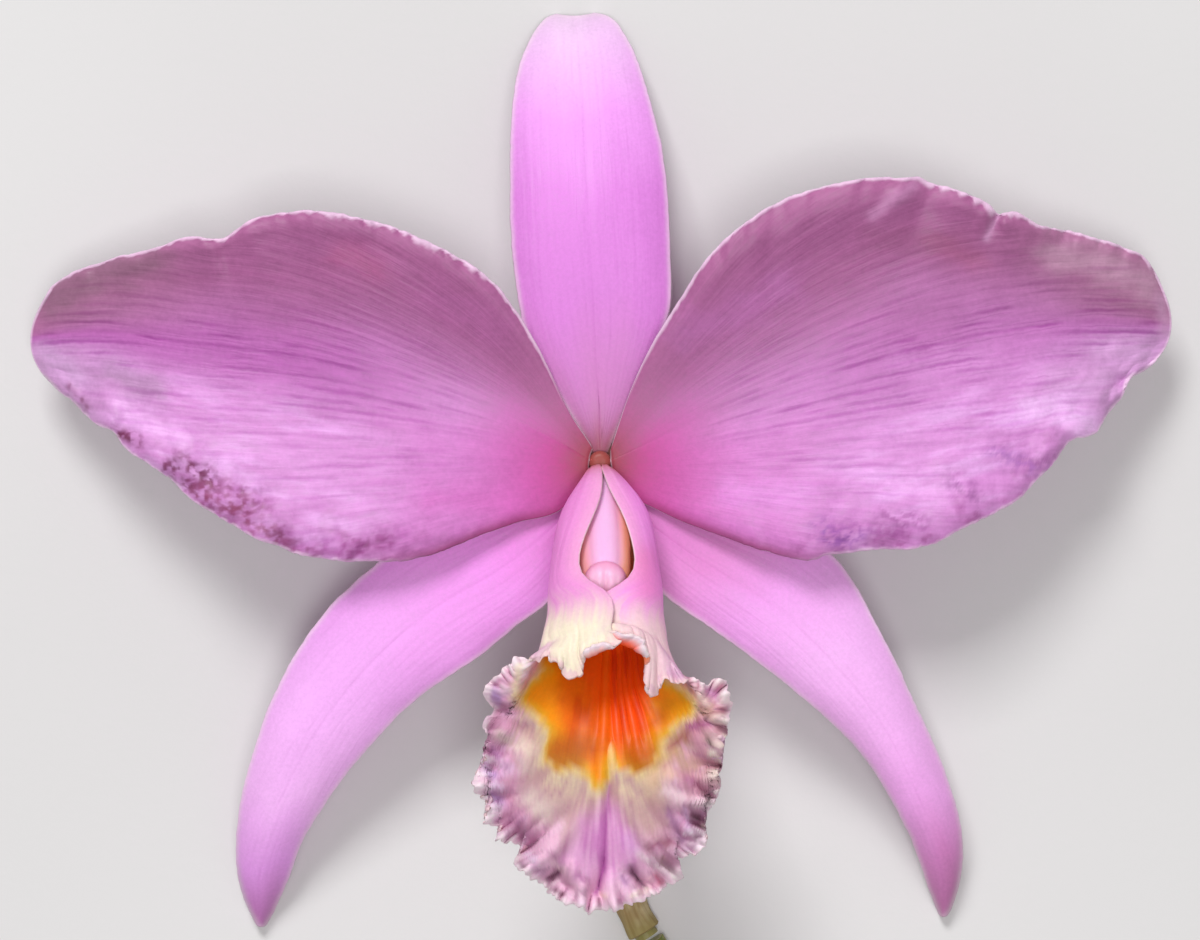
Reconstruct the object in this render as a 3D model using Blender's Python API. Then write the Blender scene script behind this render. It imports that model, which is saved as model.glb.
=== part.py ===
"""Cattleya flower as picked, lying face up on a table.

Three sepals lie behind two broad petals. In front of them the frilled lip is
rolled into a tube round the column, whose tip carries the anther cap over the
pollinia. Behind the flower a ribbed ovary bends down to the table and runs on
as the pedicel to a bract and a short cut length of peduncle.

The shapes are worked out in millimetres about the junction, the point where
sepals, petals, lip and column meet: +X right, +Y along the dorsal sepal, +Z
towards someone who looks straight into the flower. The last step sets the
flower down, so that the origin is the middle of its footprint on the table.
"""

import math

import bmesh
import bpy
import numpy as np

MM = 0.001

# Front view: outlines are measured in view units, right and down, by someone who
# looks straight at the point VIEW_CENTRE from VIEW_DISTANCE above the junction.
UNIT = 0.1228  # mm to one view unit in the plane of the junction
VIEW_CENTRE = (600.0, 470.0)
VIEW_DISTANCE = 550.0
JUNCTION_V = 462.0
JUNCTION_HEIGHT = 17.5  # junction above the table

SEPAL_THICK = 0.95
PETAL_THICK = 0.70
LIP_THICK = 0.70

# Petals: outer edges and midvein, each from base to tip, in view units.
PETAL_LEFT_UPPER = [
    (592, 448), (584, 436), (570, 415), (555, 384), (540, 352), (524, 324),
    (500, 290), (475, 268), (450, 253), (425, 241), (400, 230), (375, 222),
    (350, 216), (325, 212), (300, 211), (275, 214), (250, 221), (225, 235),
    (200, 239), (175, 241), (150, 250), (125, 256), (100, 263), (75, 272),
    (64, 278), (52, 287),
]
PETAL_LEFT_MID = [
    (588, 459), (525, 425), (450, 397), (375, 375), (300, 358), (225, 348),
    (150, 338), (100, 333), (31, 337),
]
PETAL_LEFT_LOWER = [
    (588, 471), (577, 489), (562, 508), (541, 517), (520, 521), (500, 528),
    (480, 535), (460, 543), (440, 551), (420, 557), (400, 561), (375, 562),
    (350, 561), (325, 559), (300, 554), (275, 545), (250, 535), (225, 520),
    (200, 505), (170, 480), (140, 458), (113, 431), (100, 424), (85, 413),
    (70, 398), (58, 389), (47, 378),
]
PETAL_RIGHT_UPPER = [
    (611, 449), (617, 432), (626, 405), (640, 370), (655, 340), (668, 319),
    (682, 297), (700, 268), (725, 240), (750, 220), (775, 204), (800, 194),
    (825, 186), (850, 181), (875, 178), (900, 177), (925, 181), (950, 188),
    (975, 197), (998, 213), (1025, 218), (1060, 230), (1090, 237),
    (1125, 248), (1144, 258), (1155, 274),
]
PETAL_RIGHT_MID = [
    (612, 460), (640, 447), (700, 420), (775, 392), (850, 368), (925, 348),
    (1000, 333), (1075, 323), (1171, 325),
]
PETAL_RIGHT_LOWER = [
    (613, 471), (624, 489), (640, 501), (655, 508), (680, 520), (720, 535),
    (750, 546), (780, 555), (805, 560), (835, 553), (875, 549), (915, 548),
    (935, 543), (960, 530), (980, 520), (1000, 510), (1020, 497),
    (1045, 472), (1058, 455), (1078, 438), (1098, 430), (1112, 409),
    (1125, 388), (1138, 374), (1152, 364),
]

# Sepals: left edge, midvein and right edge, each from base to tip.
DORSAL_LEFT = [
    (594, 453), (574, 420), (548, 378), (528, 340), (520, 305), (515, 270),
    (512, 235), (511, 200), (511, 150), (513, 110), (518, 75), (525, 53),
    (535, 34), (546, 20), (557, 16),
]
DORSAL_MID = [
    (600, 453), (599, 400), (596, 330), (592, 260), (588, 190), (584, 120),
    (580, 60), (576, 17.5),
]
DORSAL_RIGHT = [
    (606, 453), (622, 420), (642, 378), (660, 340), (669, 305), (670, 270),
    (669, 235), (666, 185), (661, 148), (654, 118), (645, 86), (634, 55),
    (622, 32), (610, 19), (594, 15),
]
SEPAL_LEFT_OUTER = [
    (589, 469), (555, 484), (500, 504), (450, 522), (412, 540), (380, 562),
    (360, 579), (340, 597), (320, 620), (300, 648), (285, 675), (270, 707),
    (258, 740), (248, 775), (241, 805), (238, 835), (238, 860), (242, 885),
    (248, 903), (255, 917),
]
SEPAL_LEFT_MID = [
    (594, 474), (560, 520), (500, 570), (430, 612), (370, 665), (325, 720),
    (290, 780), (266, 835), (255, 880), (260, 925),
]
SEPAL_LEFT_INNER = [
    (598, 480), (580, 540), (552, 597), (520, 622), (480, 655), (440, 681),
    (400, 713), (370, 745), (340, 781), (315, 818), (302, 840), (293, 864),
    (284, 888), (274, 909), (266, 923),
]
SEPAL_RIGHT_OUTER = [
    (611, 469), (640, 484), (700, 503), (755, 520), (800, 536), (832, 556),
    (846, 573), (859, 593), (871, 616), (883, 639), (896, 664), (907, 689),
    (918, 712), (928, 733), (940, 762), (951, 793), (959, 822), (961, 850),
    (958, 880), (950, 906),
]
SEPAL_RIGHT_MID = [
    (606, 474), (640, 515), (700, 560), (770, 605), (830, 660), (875, 715),
    (908, 775), (932, 830), (946, 875), (944, 915),
]
SEPAL_RIGHT_INNER = [
    (602, 480), (625, 540), (660, 590), (700, 620), (750, 655), (780, 678),
    (820, 711), (850, 739), (875, 771), (897, 808), (914, 843), (924, 872),
    (932, 895), (939, 912),
]

# Height of each midvein above the junction's plane, by share of its length.
PETAL_HEIGHT = [
    (0.0, 0.05), (0.1, 0.20), (0.2, 0.7), (0.35, 1.5), (0.5, 1.6),
    (0.65, 0.6), (0.8, -1.9), (0.9, -4.8), (1.0, -8.8),
]
SEPAL_HEIGHT = [
    (0.0, -1.1), (0.15, -1.15), (0.3, -1.2), (0.45, -1.9), (0.6, -3.5),
    (0.75, -6.8), (0.88, -11.2), (1.0, -16.8),
]

# Lip tube: rings from the claw to the throat. Each is the dorsal point and the
# floor point (y, z), the half width, the middle's x, and how far the left and
# right margins stop short of meeting over the column, in degrees. Below zero
# they pass each other, the left one outside.
TUBE_RINGS = [
    ((-0.45, 0.95), (-4.20, 0.95), 1.80, 0.10, 3, 3),
    ((-1.41, 4.95), (-6.60, 1.50), 3.10, 0.35, 9, 9),
    ((-3.46, 7.85), (-10.00, 2.15), 5.00, 0.57, 22, 24),
    ((-6.08, 10.90), (-13.60, 3.60), 5.85, 0.57, 27, 32),
    ((-9.54, 14.50), (-17.60, 6.20), 6.33, 0.60, 27, 33),
    ((-13.15, 17.96), (-21.30, 9.40), 6.60, 0.66, 24, 26),
    ((-16.05, 20.70), (-24.20, 12.30), 6.94, 0.60, -5, -13),
    ((-18.70, 23.05), (-26.90, 14.90), 7.50, 0.45, -7, -17),
]
# Lip limb: mouth, crest and middle lines of the flaring front, by angle round
# the tube from its floor, left below zero: (angle, x, y, z).
MOUTH_LINE = [
    (-180, 1.25, -19.5, 24.1), (-150, -2.4, -20.5, 23.6),
    (-120, -5.6, -21.3, 22.2), (-90, -7.8, -24.0, 20.5),
    (-45, -7.2, -28.5, 18.6), (-20, -3.2, -31.0, 17.6), (0, 0.3, -31.3, 17.4),
    (20, 4.2, -31.0, 17.6), (45, 8.4, -28.5, 18.8), (90, 9.2, -24.8, 20.6),
    (120, 6.9, -21.8, 22.1), (150, 4.2, -19.8, 23.2), (180, -0.9, -19.0, 22.9),
]
CREST_LINE = [
    (-180, 1.5, -20.2, 24.8), (-150, -2.5, -21.8, 24.3),
    (-120, -6.6, -22.2, 23.2), (-90, -9.7, -26.6, 21.9),
    (-45, -9.7, -34.0, 20.0), (-20, -4.5, -37.6, 19.0), (0, 0.2, -38.4, 18.6),
    (20, 5.4, -37.6, 19.0), (45, 10.7, -34.0, 20.2), (90, 11.4, -27.3, 22.0),
    (120, 7.7, -23.2, 22.9), (150, 4.7, -21.0, 24.0), (180, -0.3, -19.5, 23.6),
]
LIMB_LINE = [
    (-180, 1.9, -20.8, 25.4), (-150, -2.5, -22.8, 24.6),
    (-120, -7.2, -22.8, 23.7), (-90, -11.6, -27.6, 21.7),
    (-45, -11.6, -39.6, 18.9), (-20, -5.6, -45.0, 17.4), (0, 0.0, -46.2, 16.8),
    (20, 6.6, -45.0, 17.4), (45, 12.3, -39.5, 18.9), (90, 13.6, -28.4, 21.7),
    (120, 8.1, -24.4, 23.2), (150, 5.0, -22.3, 24.4), (180, 0.3, -20.0, 24.3),
]
# Margin of the limb in the front view: (angle, right, down, height).
MARGIN_LINE = [
    (-180, 621, 645, 25.8), (-164, 596, 643, 25.2), (-150, 581, 665, 24.6),
    (-145, 574, 677, 24.2), (-132, 557, 661, 24.2), (-119, 536, 660, 23.4),
    (-107, 517, 658, 22.7), (-95, 492, 680, 21.8), (-84, 490, 710, 20.6),
    (-74, 487, 742, 19.6), (-64, 476, 781, 18.8), (-56, 485, 808, 18.0),
    (-48, 495, 829, 17.2), (-38, 512, 846, 16.3), (-26, 530, 873, 15.0),
    (-17, 552, 893, 14.1), (-9, 577, 907, 13.3), (0, 600, 910, 12.7),
    (9, 628, 904, 13.0), (18, 654, 892, 14.0), (27, 678, 873, 14.8),
    (35, 688, 857, 15.6), (44, 706, 838, 16.6), (53, 712, 808, 17.5),
    (63, 712, 778, 18.5), (72, 711, 752, 19.4), (83, 727, 718, 20.5),
    (91, 728, 694, 21.3), (101, 707, 683, 22.0), (113, 686, 681, 22.8),
    (127, 661, 684, 23.6), (138, 649, 687, 24.1), (149, 645, 664, 24.7),
    (164, 637, 637, 25.3), (180, 612, 634, 24.9),
]
FRILL_HEIGHT = 1.5
FRILL_WAVES = 19
FRILL_DEPTH = 5.0  # how far the frill reaches in from the margin

# Column: dorsal and ventral points (y, z), half width and x, base to tip.
COLUMN_RINGS = [
    ((-1.30, 0.90), (-3.10, 0.90), 0.95, 0.05),
    ((-1.80, 3.85), (-4.30, 2.20), 1.90, 0.20),
    ((-4.03, 7.10), (-6.79, 4.50), 2.35, 0.33),
    ((-6.65, 10.10), (-9.60, 7.35), 2.60, 0.45),
    ((-9.40, 13.00), (-12.60, 10.25), 2.75, 0.52),
    ((-11.30, 14.80), (-15.40, 12.60), 2.80, 0.60),
    ((-11.90, 15.20), (-16.40, 14.30), 2.60, 0.62),
]
CAP_CENTRE = (0.65, -14.15, 15.12)
CAP_HALF = (2.55, 2.35, 2.45)
CAP_WALL = 0.45

OVARY_TOP = -1.95  # below the junction's plane
OVARY_RADIUS = 2.45
PEDICEL_RADIUS = 1.2
PEDUNCLE_RADIUS = 1.5
BOSS_RADIUS = 0.75  # end of the ovary that stands up between the tepals
# Stem line on the table from under the flower to the cut, mm from the junction.
STEM_LINE = [
    (0.0, -16.0), (0.1, -24.0), (0.4, -33.0), (1.1, -42.0), (2.4, -50.5),
    (4.3, -56.8), (6.4, -60.5), (9.8, -65.0), (14.4, -70.0),
]
BEND_RADIUS = 13.2

COLOURS = {
    "dorsal_sepal": (0.74, 0.36, 0.78),
    "lateral_sepal_left": (0.80, 0.42, 0.84),
    "lateral_sepal_right": (0.80, 0.42, 0.84),
    "petal_left": (0.62, 0.28, 0.60),
    "petal_right": (0.62, 0.28, 0.60),
    "lip": (0.80, 0.52, 0.70),
    "column": (0.86, 0.55, 0.68),
    "anther_cap": (0.88, 0.62, 0.76),
    "pollinarium": (0.85, 0.68, 0.20),
    "ovary_pedicel": (0.42, 0.44, 0.17),
    "floral_bract": (0.55, 0.47, 0.27),
    "peduncle": (0.27, 0.36, 0.10),
}


def spline(knots, values, at):
    """Natural cubic spline through rows of values at rising knots."""
    knots = np.asarray(knots, float)
    values = np.asarray(values, float)
    shape = values.shape[1:]
    flat = values.reshape(len(knots), -1)
    gap = np.diff(knots)
    n = len(knots)
    left = np.eye(n)
    right = np.zeros_like(flat)
    for i in range(1, n - 1):
        left[i, i - 1 : i + 2] = gap[i - 1], 2 * (gap[i - 1] + gap[i]), gap[i]
        right[i] = 6 * (
            (flat[i + 1] - flat[i]) / gap[i] - (flat[i] - flat[i - 1]) / gap[i - 1]
        )
    bend = np.linalg.solve(left, right)
    at = np.asarray(at, float)
    j = np.clip(np.searchsorted(knots, at, side="right") - 1, 0, n - 2)
    h = gap[j][:, None]
    a = (knots[j + 1] - at)[:, None] / h
    b = 1 - a
    out = (
        a * flat[j]
        + b * flat[j + 1]
        + ((a**3 - a) * bend[j] + (b**3 - b) * bend[j + 1]) * h**2 / 6
    )
    return out.reshape(at.shape + shape)


def along(points, shares):
    """Points at shares of the length of a smooth curve through the given ones."""
    p = np.asarray(points, float)
    step = np.linalg.norm(np.diff(p, axis=0), axis=1) ** 0.5
    knots = np.concatenate([[0.0], np.cumsum(step)])
    fine = spline(knots, p, np.linspace(0, knots[-1], 30 * len(p)))
    run = np.concatenate(
        [[0.0], np.cumsum(np.linalg.norm(np.diff(fine, axis=0), axis=1))]
    )
    run /= run[-1]
    return np.stack(
        [np.interp(shares, run, fine[:, i]) for i in range(p.shape[1])], axis=-1
    )


def ease(x, low, high):
    t = np.clip((np.asarray(x, float) - low) / (high - low), 0, 1)
    return t * t * (3 - 2 * t)


def from_view(u, v, z):
    """The point at height z that the front view shows at (u, v)."""
    scale = UNIT * (VIEW_DISTANCE - z) / VIEW_DISTANCE
    x = (u - VIEW_CENTRE[0]) * scale
    y = (VIEW_CENTRE[1] - v) * scale - (VIEW_CENTRE[1] - JUNCTION_V) * UNIT
    return np.stack([x, y, z + 0 * x], axis=-1)


def normals(grid):
    down = np.gradient(grid, axis=0)
    across = np.gradient(grid, axis=1)
    n = np.cross(down, across)
    n /= np.maximum(np.linalg.norm(n, axis=-1, keepdims=True), 1e-9)
    return n


def sheet_mesh(name, grid, thick, facing):
    """A closed thin solid round a grid of points, thick mm through."""
    n = normals(grid) * facing
    half = np.broadcast_to(np.asarray(thick, float) / 2, grid.shape[:2])[..., None]
    rows, cols = grid.shape[:2]
    points = np.concatenate(
        [(grid + n * half).reshape(-1, 3), (grid - n * half).reshape(-1, 3)]
    )
    back = rows * cols

    def at(i, j):
        return i * cols + j

    faces = []
    for i in range(rows - 1):
        for j in range(cols - 1):
            quad = (at(i, j), at(i, j + 1), at(i + 1, j + 1), at(i + 1, j))
            faces.append(quad)
            faces.append(tuple(back + k for k in reversed(quad)))
    rim = (
        [at(0, j) for j in range(cols)]
        + [at(i, cols - 1) for i in range(1, rows)]
        + [at(rows - 1, j) for j in range(cols - 2, -1, -1)]
        + [at(i, 0) for i in range(rows - 2, 0, -1)]
    )
    for k, here in enumerate(rim):
        there = rim[(k + 1) % len(rim)]
        faces.append((there, here, back + here, back + there))
    return solid(name, points, faces)


def tube_mesh(name, rings):
    """A closed solid through rings of points, with its ends capped."""
    rings = np.asarray(rings, float)
    count, sides = rings.shape[:2]
    points = rings.reshape(-1, 3)
    faces = []
    for i in range(count - 1):
        for j in range(sides):
            k = (j + 1) % sides
            faces.append(
                (i * sides + j, i * sides + k, (i + 1) * sides + k, (i + 1) * sides + j)
            )
    first = len(points)
    points = np.concatenate([points, rings[0].mean(0)[None], rings[-1].mean(0)[None]])
    for j in range(sides):
        k = (j + 1) % sides
        faces.append((first, k, j))
        faces.append((first + 1, (count - 1) * sides + j, (count - 1) * sides + k))
    return solid(name, points, faces)


def solid(name, points, faces):
    """A mesh object in metres with its faces turned outwards and shaded smooth."""
    mesh = bpy.data.meshes.new(name)
    mesh.from_pydata([tuple(p * MM) for p in points], [], faces)
    shape = bmesh.new()
    shape.from_mesh(mesh)
    bmesh.ops.recalc_face_normals(shape, faces=shape.faces)
    if shape.calc_volume(signed=True) < 0:
        bmesh.ops.reverse_faces(shape, faces=shape.faces)
    shape.to_mesh(mesh)
    shape.free()
    mesh.shade_smooth()
    mesh.set_sharp_from_angle(angle=math.radians(50))
    part = bpy.data.objects.new(name, mesh)
    bpy.context.scene.collection.objects.link(part)
    return part


def blade(first, middle, last, rows, cols, height):
    """Grid of points of a petal or sepal: rows from base to tip, columns from
    its first edge over the midvein to its last edge."""
    t = np.linspace(0, 1, rows)
    t = 0.55 * t + 0.45 * (1 - (1 - t) ** 2)
    s = np.sin(np.linspace(-1, 1, cols) * math.pi / 2) * 0.35 + np.linspace(
        -1, 1, cols
    ) * 0.65
    a, m, b = along(first, t), along(middle, t), along(last, t)
    s3 = s[None, :, None]
    flat = (
        m[:, None] + s3 * ((b - a) / 2)[:, None] + s3**2 * ((a + b) / 2 - m)[:, None]
    )
    z = height(t[:, None] + 0 * s[None], s[None] + 0 * t[:, None])
    return from_view(flat[..., 0], flat[..., 1], z), t, s


def petal_height(rise_first, rise_last, phase):
    """A shallow valley along the midvein, its margins rolled back a little."""

    def height(t, s):
        mid = spline(*zip(*PETAL_HEIGHT), t[:, 0])[:, None]
        grown = ease(t, 0.03, 0.36) * (1 - 0.30 * ease(t, 0.7, 1.0))
        rise = np.where(s < 0, rise_first, rise_last) * np.abs(s) ** 1.9
        roll = 1.5 * np.clip((np.abs(s) - 0.86) / 0.14, 0, 1) ** 2
        wave = (
            0.55
            * ease(np.abs(s), 0.45, 1.0)
            * ease(t, 0.25, 0.6)
            * np.sin(2 * math.pi * 4.5 * t + 2.1 * np.sign(s) + phase)
        )
        return mid + grown * (rise - roll) + wave

    return height


def sepal_height(t, s):
    """A gentle arch: the midvein stands highest and the tip bends back."""
    mid = spline(*zip(*SEPAL_HEIGHT), t[:, 0])[:, None]
    return mid - (1.5 * ease(t, 0.2, 0.7) + 0.25) * np.abs(s) ** 2.2


def stand_on_table(grid):
    """Lets a sepal's tip down until its lowest point just meets the table."""
    reach = np.linspace(0, 1, grid.shape[0])[:, None] ** 2.5
    for _ in range(8):
        low = (grid - np.abs(normals(grid)) * SEPAL_THICK / 2)[..., 2].min()
        grid[..., 2] += (-JUNCTION_HEIGHT - low) * reach
    return grid


def ring(dorsal, floor, half, middle, angles, inset=0.0):
    """Points round one ring of the lip tube at angles from its floor."""
    d = np.asarray(dorsal, float)
    f = np.asarray(floor, float)
    centre = (d + f) / 2
    arm = (f - d) / 2
    shrink = 1 - inset / np.linalg.norm(arm)
    x = middle + half * np.sin(angles) * (1 - 0.4 * (1 - shrink))
    yz = centre + (arm[None] * np.cos(angles)[:, None]) * shrink[:, None]
    return np.stack([x, yz[:, 0], yz[:, 1]], axis=-1)


def lip_surface(rows, cols):
    """Grid of points of the lip: rows from its claw to the frilled margin,
    columns from the left margin over the floor to the right margin."""
    u = np.linspace(-1, 1, cols)
    u = u * 0.75 + np.sin(u * math.pi / 2) * 0.25
    lines = []
    for index, (dorsal, floor, half, middle, gap_l, gap_r) in enumerate(TUBE_RINGS):
        most = np.where(u < 0, 180 - gap_l, 180 - gap_r)
        theta = np.radians(u * most)
        under = ease(np.degrees(theta), 140, 176) * (0.0 if index < 5 else 1.15)
        over = ease(-np.degrees(theta), 150, 180) * (0.0 if index < 5 else -0.15)
        if index == 5:
            under *= 0.55
        lines.append(ring(dorsal, floor, half, middle, theta, under + over))
    phi = u * 180
    for line in (MOUTH_LINE, CREST_LINE, LIMB_LINE):
        table = np.asarray(line, float)
        lines.append(spline(table[:, 0], table[:, 1:], phi))
    table = np.asarray(MARGIN_LINE, float)
    margin = spline(table[:, 0], table[:, 1:], phi)
    lines.append(from_view(margin[:, 0], margin[:, 1], margin[:, 2]))
    control = np.stack(lines)
    grid = np.empty((rows, cols, 3))
    share = np.linspace(0, 1, rows)
    for j in range(cols):
        grid[:, j] = along(control[:, j], share)
    return frilled(grid, phi)


def frilled(grid, phi):
    """Waves the limb along its margin, fading inwards."""
    steps = np.linalg.norm(np.diff(grid, axis=0), axis=-1)
    inwards = np.concatenate(
        [np.cumsum(steps[::-1], axis=0)[::-1], np.zeros((1, grid.shape[1]))]
    )
    edge = np.concatenate(
        [[0.0], np.cumsum(np.linalg.norm(np.diff(grid[-1], axis=0), axis=-1))]
    )
    edge /= edge[-1]
    reach = np.interp(np.abs(phi), [0, 100, 130, 180], [1.0, 1.0, 0.35, 0.12])
    depth = FRILL_DEPTH * (0.35 + 0.65 * reach)
    fade = np.clip(1 - inwards / depth[None], 0, 1) ** 1.6
    wave = np.sin(2 * math.pi * FRILL_WAVES * edge + 1.3 * np.sin(9 * edge))
    lift = FRILL_HEIGHT * reach[None] * fade * wave[None]
    return grid + normals(grid) * lift[..., None]


def column_mesh():
    """Half-round column with a ridge down its back and a hollow under its tip."""
    rings = []
    shares = np.linspace(0, 1, 10)
    table = np.array(
        [[*dorsal, *ventral, half, x] for dorsal, ventral, half, x in COLUMN_RINGS]
    )
    table = along(table, shares)
    for dy, dz, vy, vz, half, x in table:
        d, v = np.array([dy, dz]), np.array([vy, vz])
        centre = d + (v - d) * 0.52
        psi = np.linspace(0, 2 * math.pi, 18, endpoint=False)
        c = np.cos(psi)
        ridge = 1 + 0.10 * np.maximum(c, 0) ** 8
        back = (d - centre)[None] * (np.maximum(c, 0) * ridge / 1.10)[:, None]
        front = (v - centre)[None] * (np.maximum(-c, 0) ** 0.8)[:, None]
        yz = centre + back + front
        xs = x + half * np.sign(np.sin(psi)) * np.abs(np.sin(psi)) ** 0.85
        rings.append(np.stack([xs, yz[:, 0], yz[:, 1]], axis=-1))
    return tube_mesh("column", rings)


def cap_points(half, lift, rings, sides):
    """Dome of the anther cap over its oval rim, notched at its front."""
    points = []
    for i in range(rings):
        a = math.pi / 2 * i / rings
        for j in range(sides):
            b = 2 * math.pi * j / sides
            x = half[0] * math.cos(a) ** 0.8 * math.cos(b)
            y = half[1] * math.cos(a) ** 0.8 * math.sin(b)
            z = half[2] * math.sin(a)
            groove = 0.22 * math.exp(-((x / 0.5) ** 2)) * math.sin(a)
            points.append((x, y, lift + z - groove))
    return np.array(points).reshape(rings, sides, 3)


def cap_mesh():
    """Anther cap: a hollow dome, open towards the column."""
    sides, rings = 20, 6
    outer = cap_points(CAP_HALF, 0.0, rings, sides)
    inner_half = tuple(h - CAP_WALL for h in CAP_HALF)
    inner = cap_points(inner_half, 0.0, rings, sides)
    points = np.concatenate(
        [
            outer.reshape(-1, 3),
            [[0, 0, CAP_HALF[2] - 0.22]],
            inner.reshape(-1, 3),
            [[0, 0, inner_half[2] - 0.22]],
        ]
    )
    top, start = rings * sides, rings * sides + 1
    low = start + rings * sides
    faces = []
    for j in range(sides):
        k = (j + 1) % sides
        for i in range(rings - 1):
            quad = (
                i * sides + j, i * sides + k, (i + 1) * sides + k, (i + 1) * sides + j,
            )
            faces.append(quad)
            faces.append(tuple(start + q for q in reversed(quad)))
        last = (rings - 1) * sides
        faces.append((last + j, last + k, top))
        faces.append((start + last + k, start + last + j, low))
        faces.append((k, j, start + j, start + k))
    points = turned(points, math.radians(11.3)) + np.array(CAP_CENTRE)
    return solid("anther_cap", points, faces)


def turned(points, angle):
    c, s = math.cos(angle), math.sin(angle)
    out = np.array(points, float)
    out[:, 1] = points[:, 1] * c - points[:, 2] * s
    out[:, 2] = points[:, 1] * s + points[:, 2] * c
    return out


def ellipsoid(centre, half, sides=8, rings=6):
    layers = []
    for i in range(1, rings):
        a = math.pi * i / rings
        layers.append(
            [
                (
                    centre[0] + half[0] * math.sin(a) * math.cos(2 * math.pi * j / sides),
                    centre[1] + half[1] * math.sin(a) * math.sin(2 * math.pi * j / sides),
                    centre[2] - half[2] * math.cos(a),
                )
                for j in range(sides)
            ]
        )
    return layers


def pollinarium_mesh():
    """Four waxy pollinia side by side, joined at one end by their caudicles."""
    base = np.array(CAP_CENTRE)
    helpers = []
    spots = [(-1.08, -0.15), (-0.36, 0.0), (0.36, 0.0), (1.08, -0.15)]
    for n, (x, y) in enumerate(spots):
        centre = base + np.array([x, y, 0.78])
        helpers.append(tube_mesh(f"pollinium_{n}", ellipsoid(centre, (0.44, 0.85, 0.36))))
    strap = base + np.array([0.0, -0.62, 0.62])
    helpers.append(tube_mesh("caudicles", ellipsoid(strap, (1.25, 0.42, 0.22), 10)))
    body = helpers[0]
    body.name = body.data.name = "pollinarium"
    for other in helpers[1:]:
        join = body.modifiers.new(other.name, "BOOLEAN")
        join.operation = "UNION"
        join.object = other
        other.hide_render = True
        other.display_type = "WIRE"
    return body


def stem_path(count):
    """Centre line from the ovary's top, round its bend, and along the table."""
    bend = []
    bottom = -JUNCTION_HEIGHT + OVARY_RADIUS
    drop = OVARY_TOP - bottom
    for i in range(9):
        a = math.pi / 2 * i / 8
        bend.append(
            (0.0, -BEND_RADIUS * (1 - math.cos(a)), OVARY_TOP - drop * math.sin(a))
        )
    line = np.array(bend + [(x, y, bottom) for x, y in STEM_LINE])
    return along(line, np.linspace(0, 1, count))


def sweep(name, centres, radii, sides, ribs=0.0):
    """A tube of changing radius along centres, six ribs where ribs is above 0."""
    rings = []
    ribs = np.broadcast_to(ribs, len(centres))
    tangents = np.gradient(centres, axis=0)
    if len(centres) > 3 and centres[0][2] > 0:
        tangents[:4] = (0.0, 0.0, -1.0)
    up = np.array([1.0, 0.0, 0.0])
    for centre, tangent, radius, rib in zip(centres, tangents, radii, ribs):
        tangent = tangent / np.linalg.norm(tangent)
        side = up - tangent * up.dot(tangent)
        side /= np.linalg.norm(side)
        other = np.cross(tangent, side)
        a = np.linspace(0, 2 * math.pi, sides, endpoint=False)
        r = radius * (1 + rib * np.cos(6 * a + math.pi) - rib)
        rings.append(
            centre
            + (r * np.cos(a))[:, None] * side[None]
            + (r * np.sin(a))[:, None] * other[None]
        )
    return tube_mesh(name, rings)


def lowered(centres, radii):
    """Settles each centre so that a lying tube of that radius meets the table."""
    out = centres.copy()
    flat = ease(-out[:, 1], 13.0, 17.0)
    target = -JUNCTION_HEIGHT + radii
    out[:, 2] = out[:, 2] * (1 - flat) + target * flat
    return out


def stems():
    path = stem_path(200)
    length = np.concatenate(
        [[0.0], np.cumsum(np.linalg.norm(np.diff(path, axis=0), axis=1))]
    )
    split = 0.84 * length[-1]

    def part_of(low, high, count):
        at = np.linspace(low, high, count)
        return np.stack([np.interp(at, length, path[:, i]) for i in range(3)], -1), at

    centres, at = part_of(0.0, split, 24)
    swell = ease(at, 0, 6) * (1 - ease(at, 20, 42))
    radii = PEDICEL_RADIUS + (OVARY_RADIUS - PEDICEL_RADIUS) * swell
    radii += 1.6 * (1 - ease(at, 0, 3.5))
    radii += 0.3 * ease(at, split - 4, split)
    ribs = 0.075 * ease(at, 1.5, 6) * (1 - ease(at, 22, 42))
    boss = np.array([(0.0, 0.0, 0.5), (0.0, 0.0, 0.1), (0.0, 0.0, OVARY_TOP)])
    around = np.array([0.6, 1.0, 1.0]) * BOSS_RADIUS
    sweep(
        "ovary_pedicel",
        np.concatenate([boss, lowered(centres, radii)]),
        np.concatenate([around, radii]), 18, np.concatenate([[0, 0, 0], ribs]),
    )
    centres, at = part_of(split + 0.7, length[-1], 8)
    radii = PEDUNCLE_RADIUS + 0.3 * (1 - ease(at, split, split + 3.5)) + 0 * at
    sweep("peduncle", lowered(centres, radii), radii, 14)
    # The bract clasps the pedicel's foot from above and points along it.
    centres, at = part_of(split - 1.0, split - 11.0, 9)
    radii = PEDICEL_RADIUS + 0.3 * ease(at, split - 4, split)
    middle = lowered(centres, radii)
    grown = np.linspace(0, 1, 9)
    wide = np.radians(np.interp(grown, [0, 0.3, 0.8, 1], [118, 100, 48, 12]))
    tangents = np.gradient(middle, axis=0)
    tangents /= np.linalg.norm(tangents, axis=1, keepdims=True)
    side = np.cross(tangents, (0.0, 0.0, 1.0))
    side /= np.linalg.norm(side, axis=1, keepdims=True)
    grid = np.empty((9, 9, 3))
    for j, share in enumerate(np.linspace(-1, 1, 9)):
        angle = wide * share
        reach = radii + 0.55 + 0.9 * grown**2
        grid[:, j] = (
            middle
            + side * (reach * np.sin(angle))[:, None]
            + np.array([0, 0, 1.0]) * (reach * np.cos(angle))[:, None]
        )
    sheet_mesh("floral_bract", grid, 0.4, 1)


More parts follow.
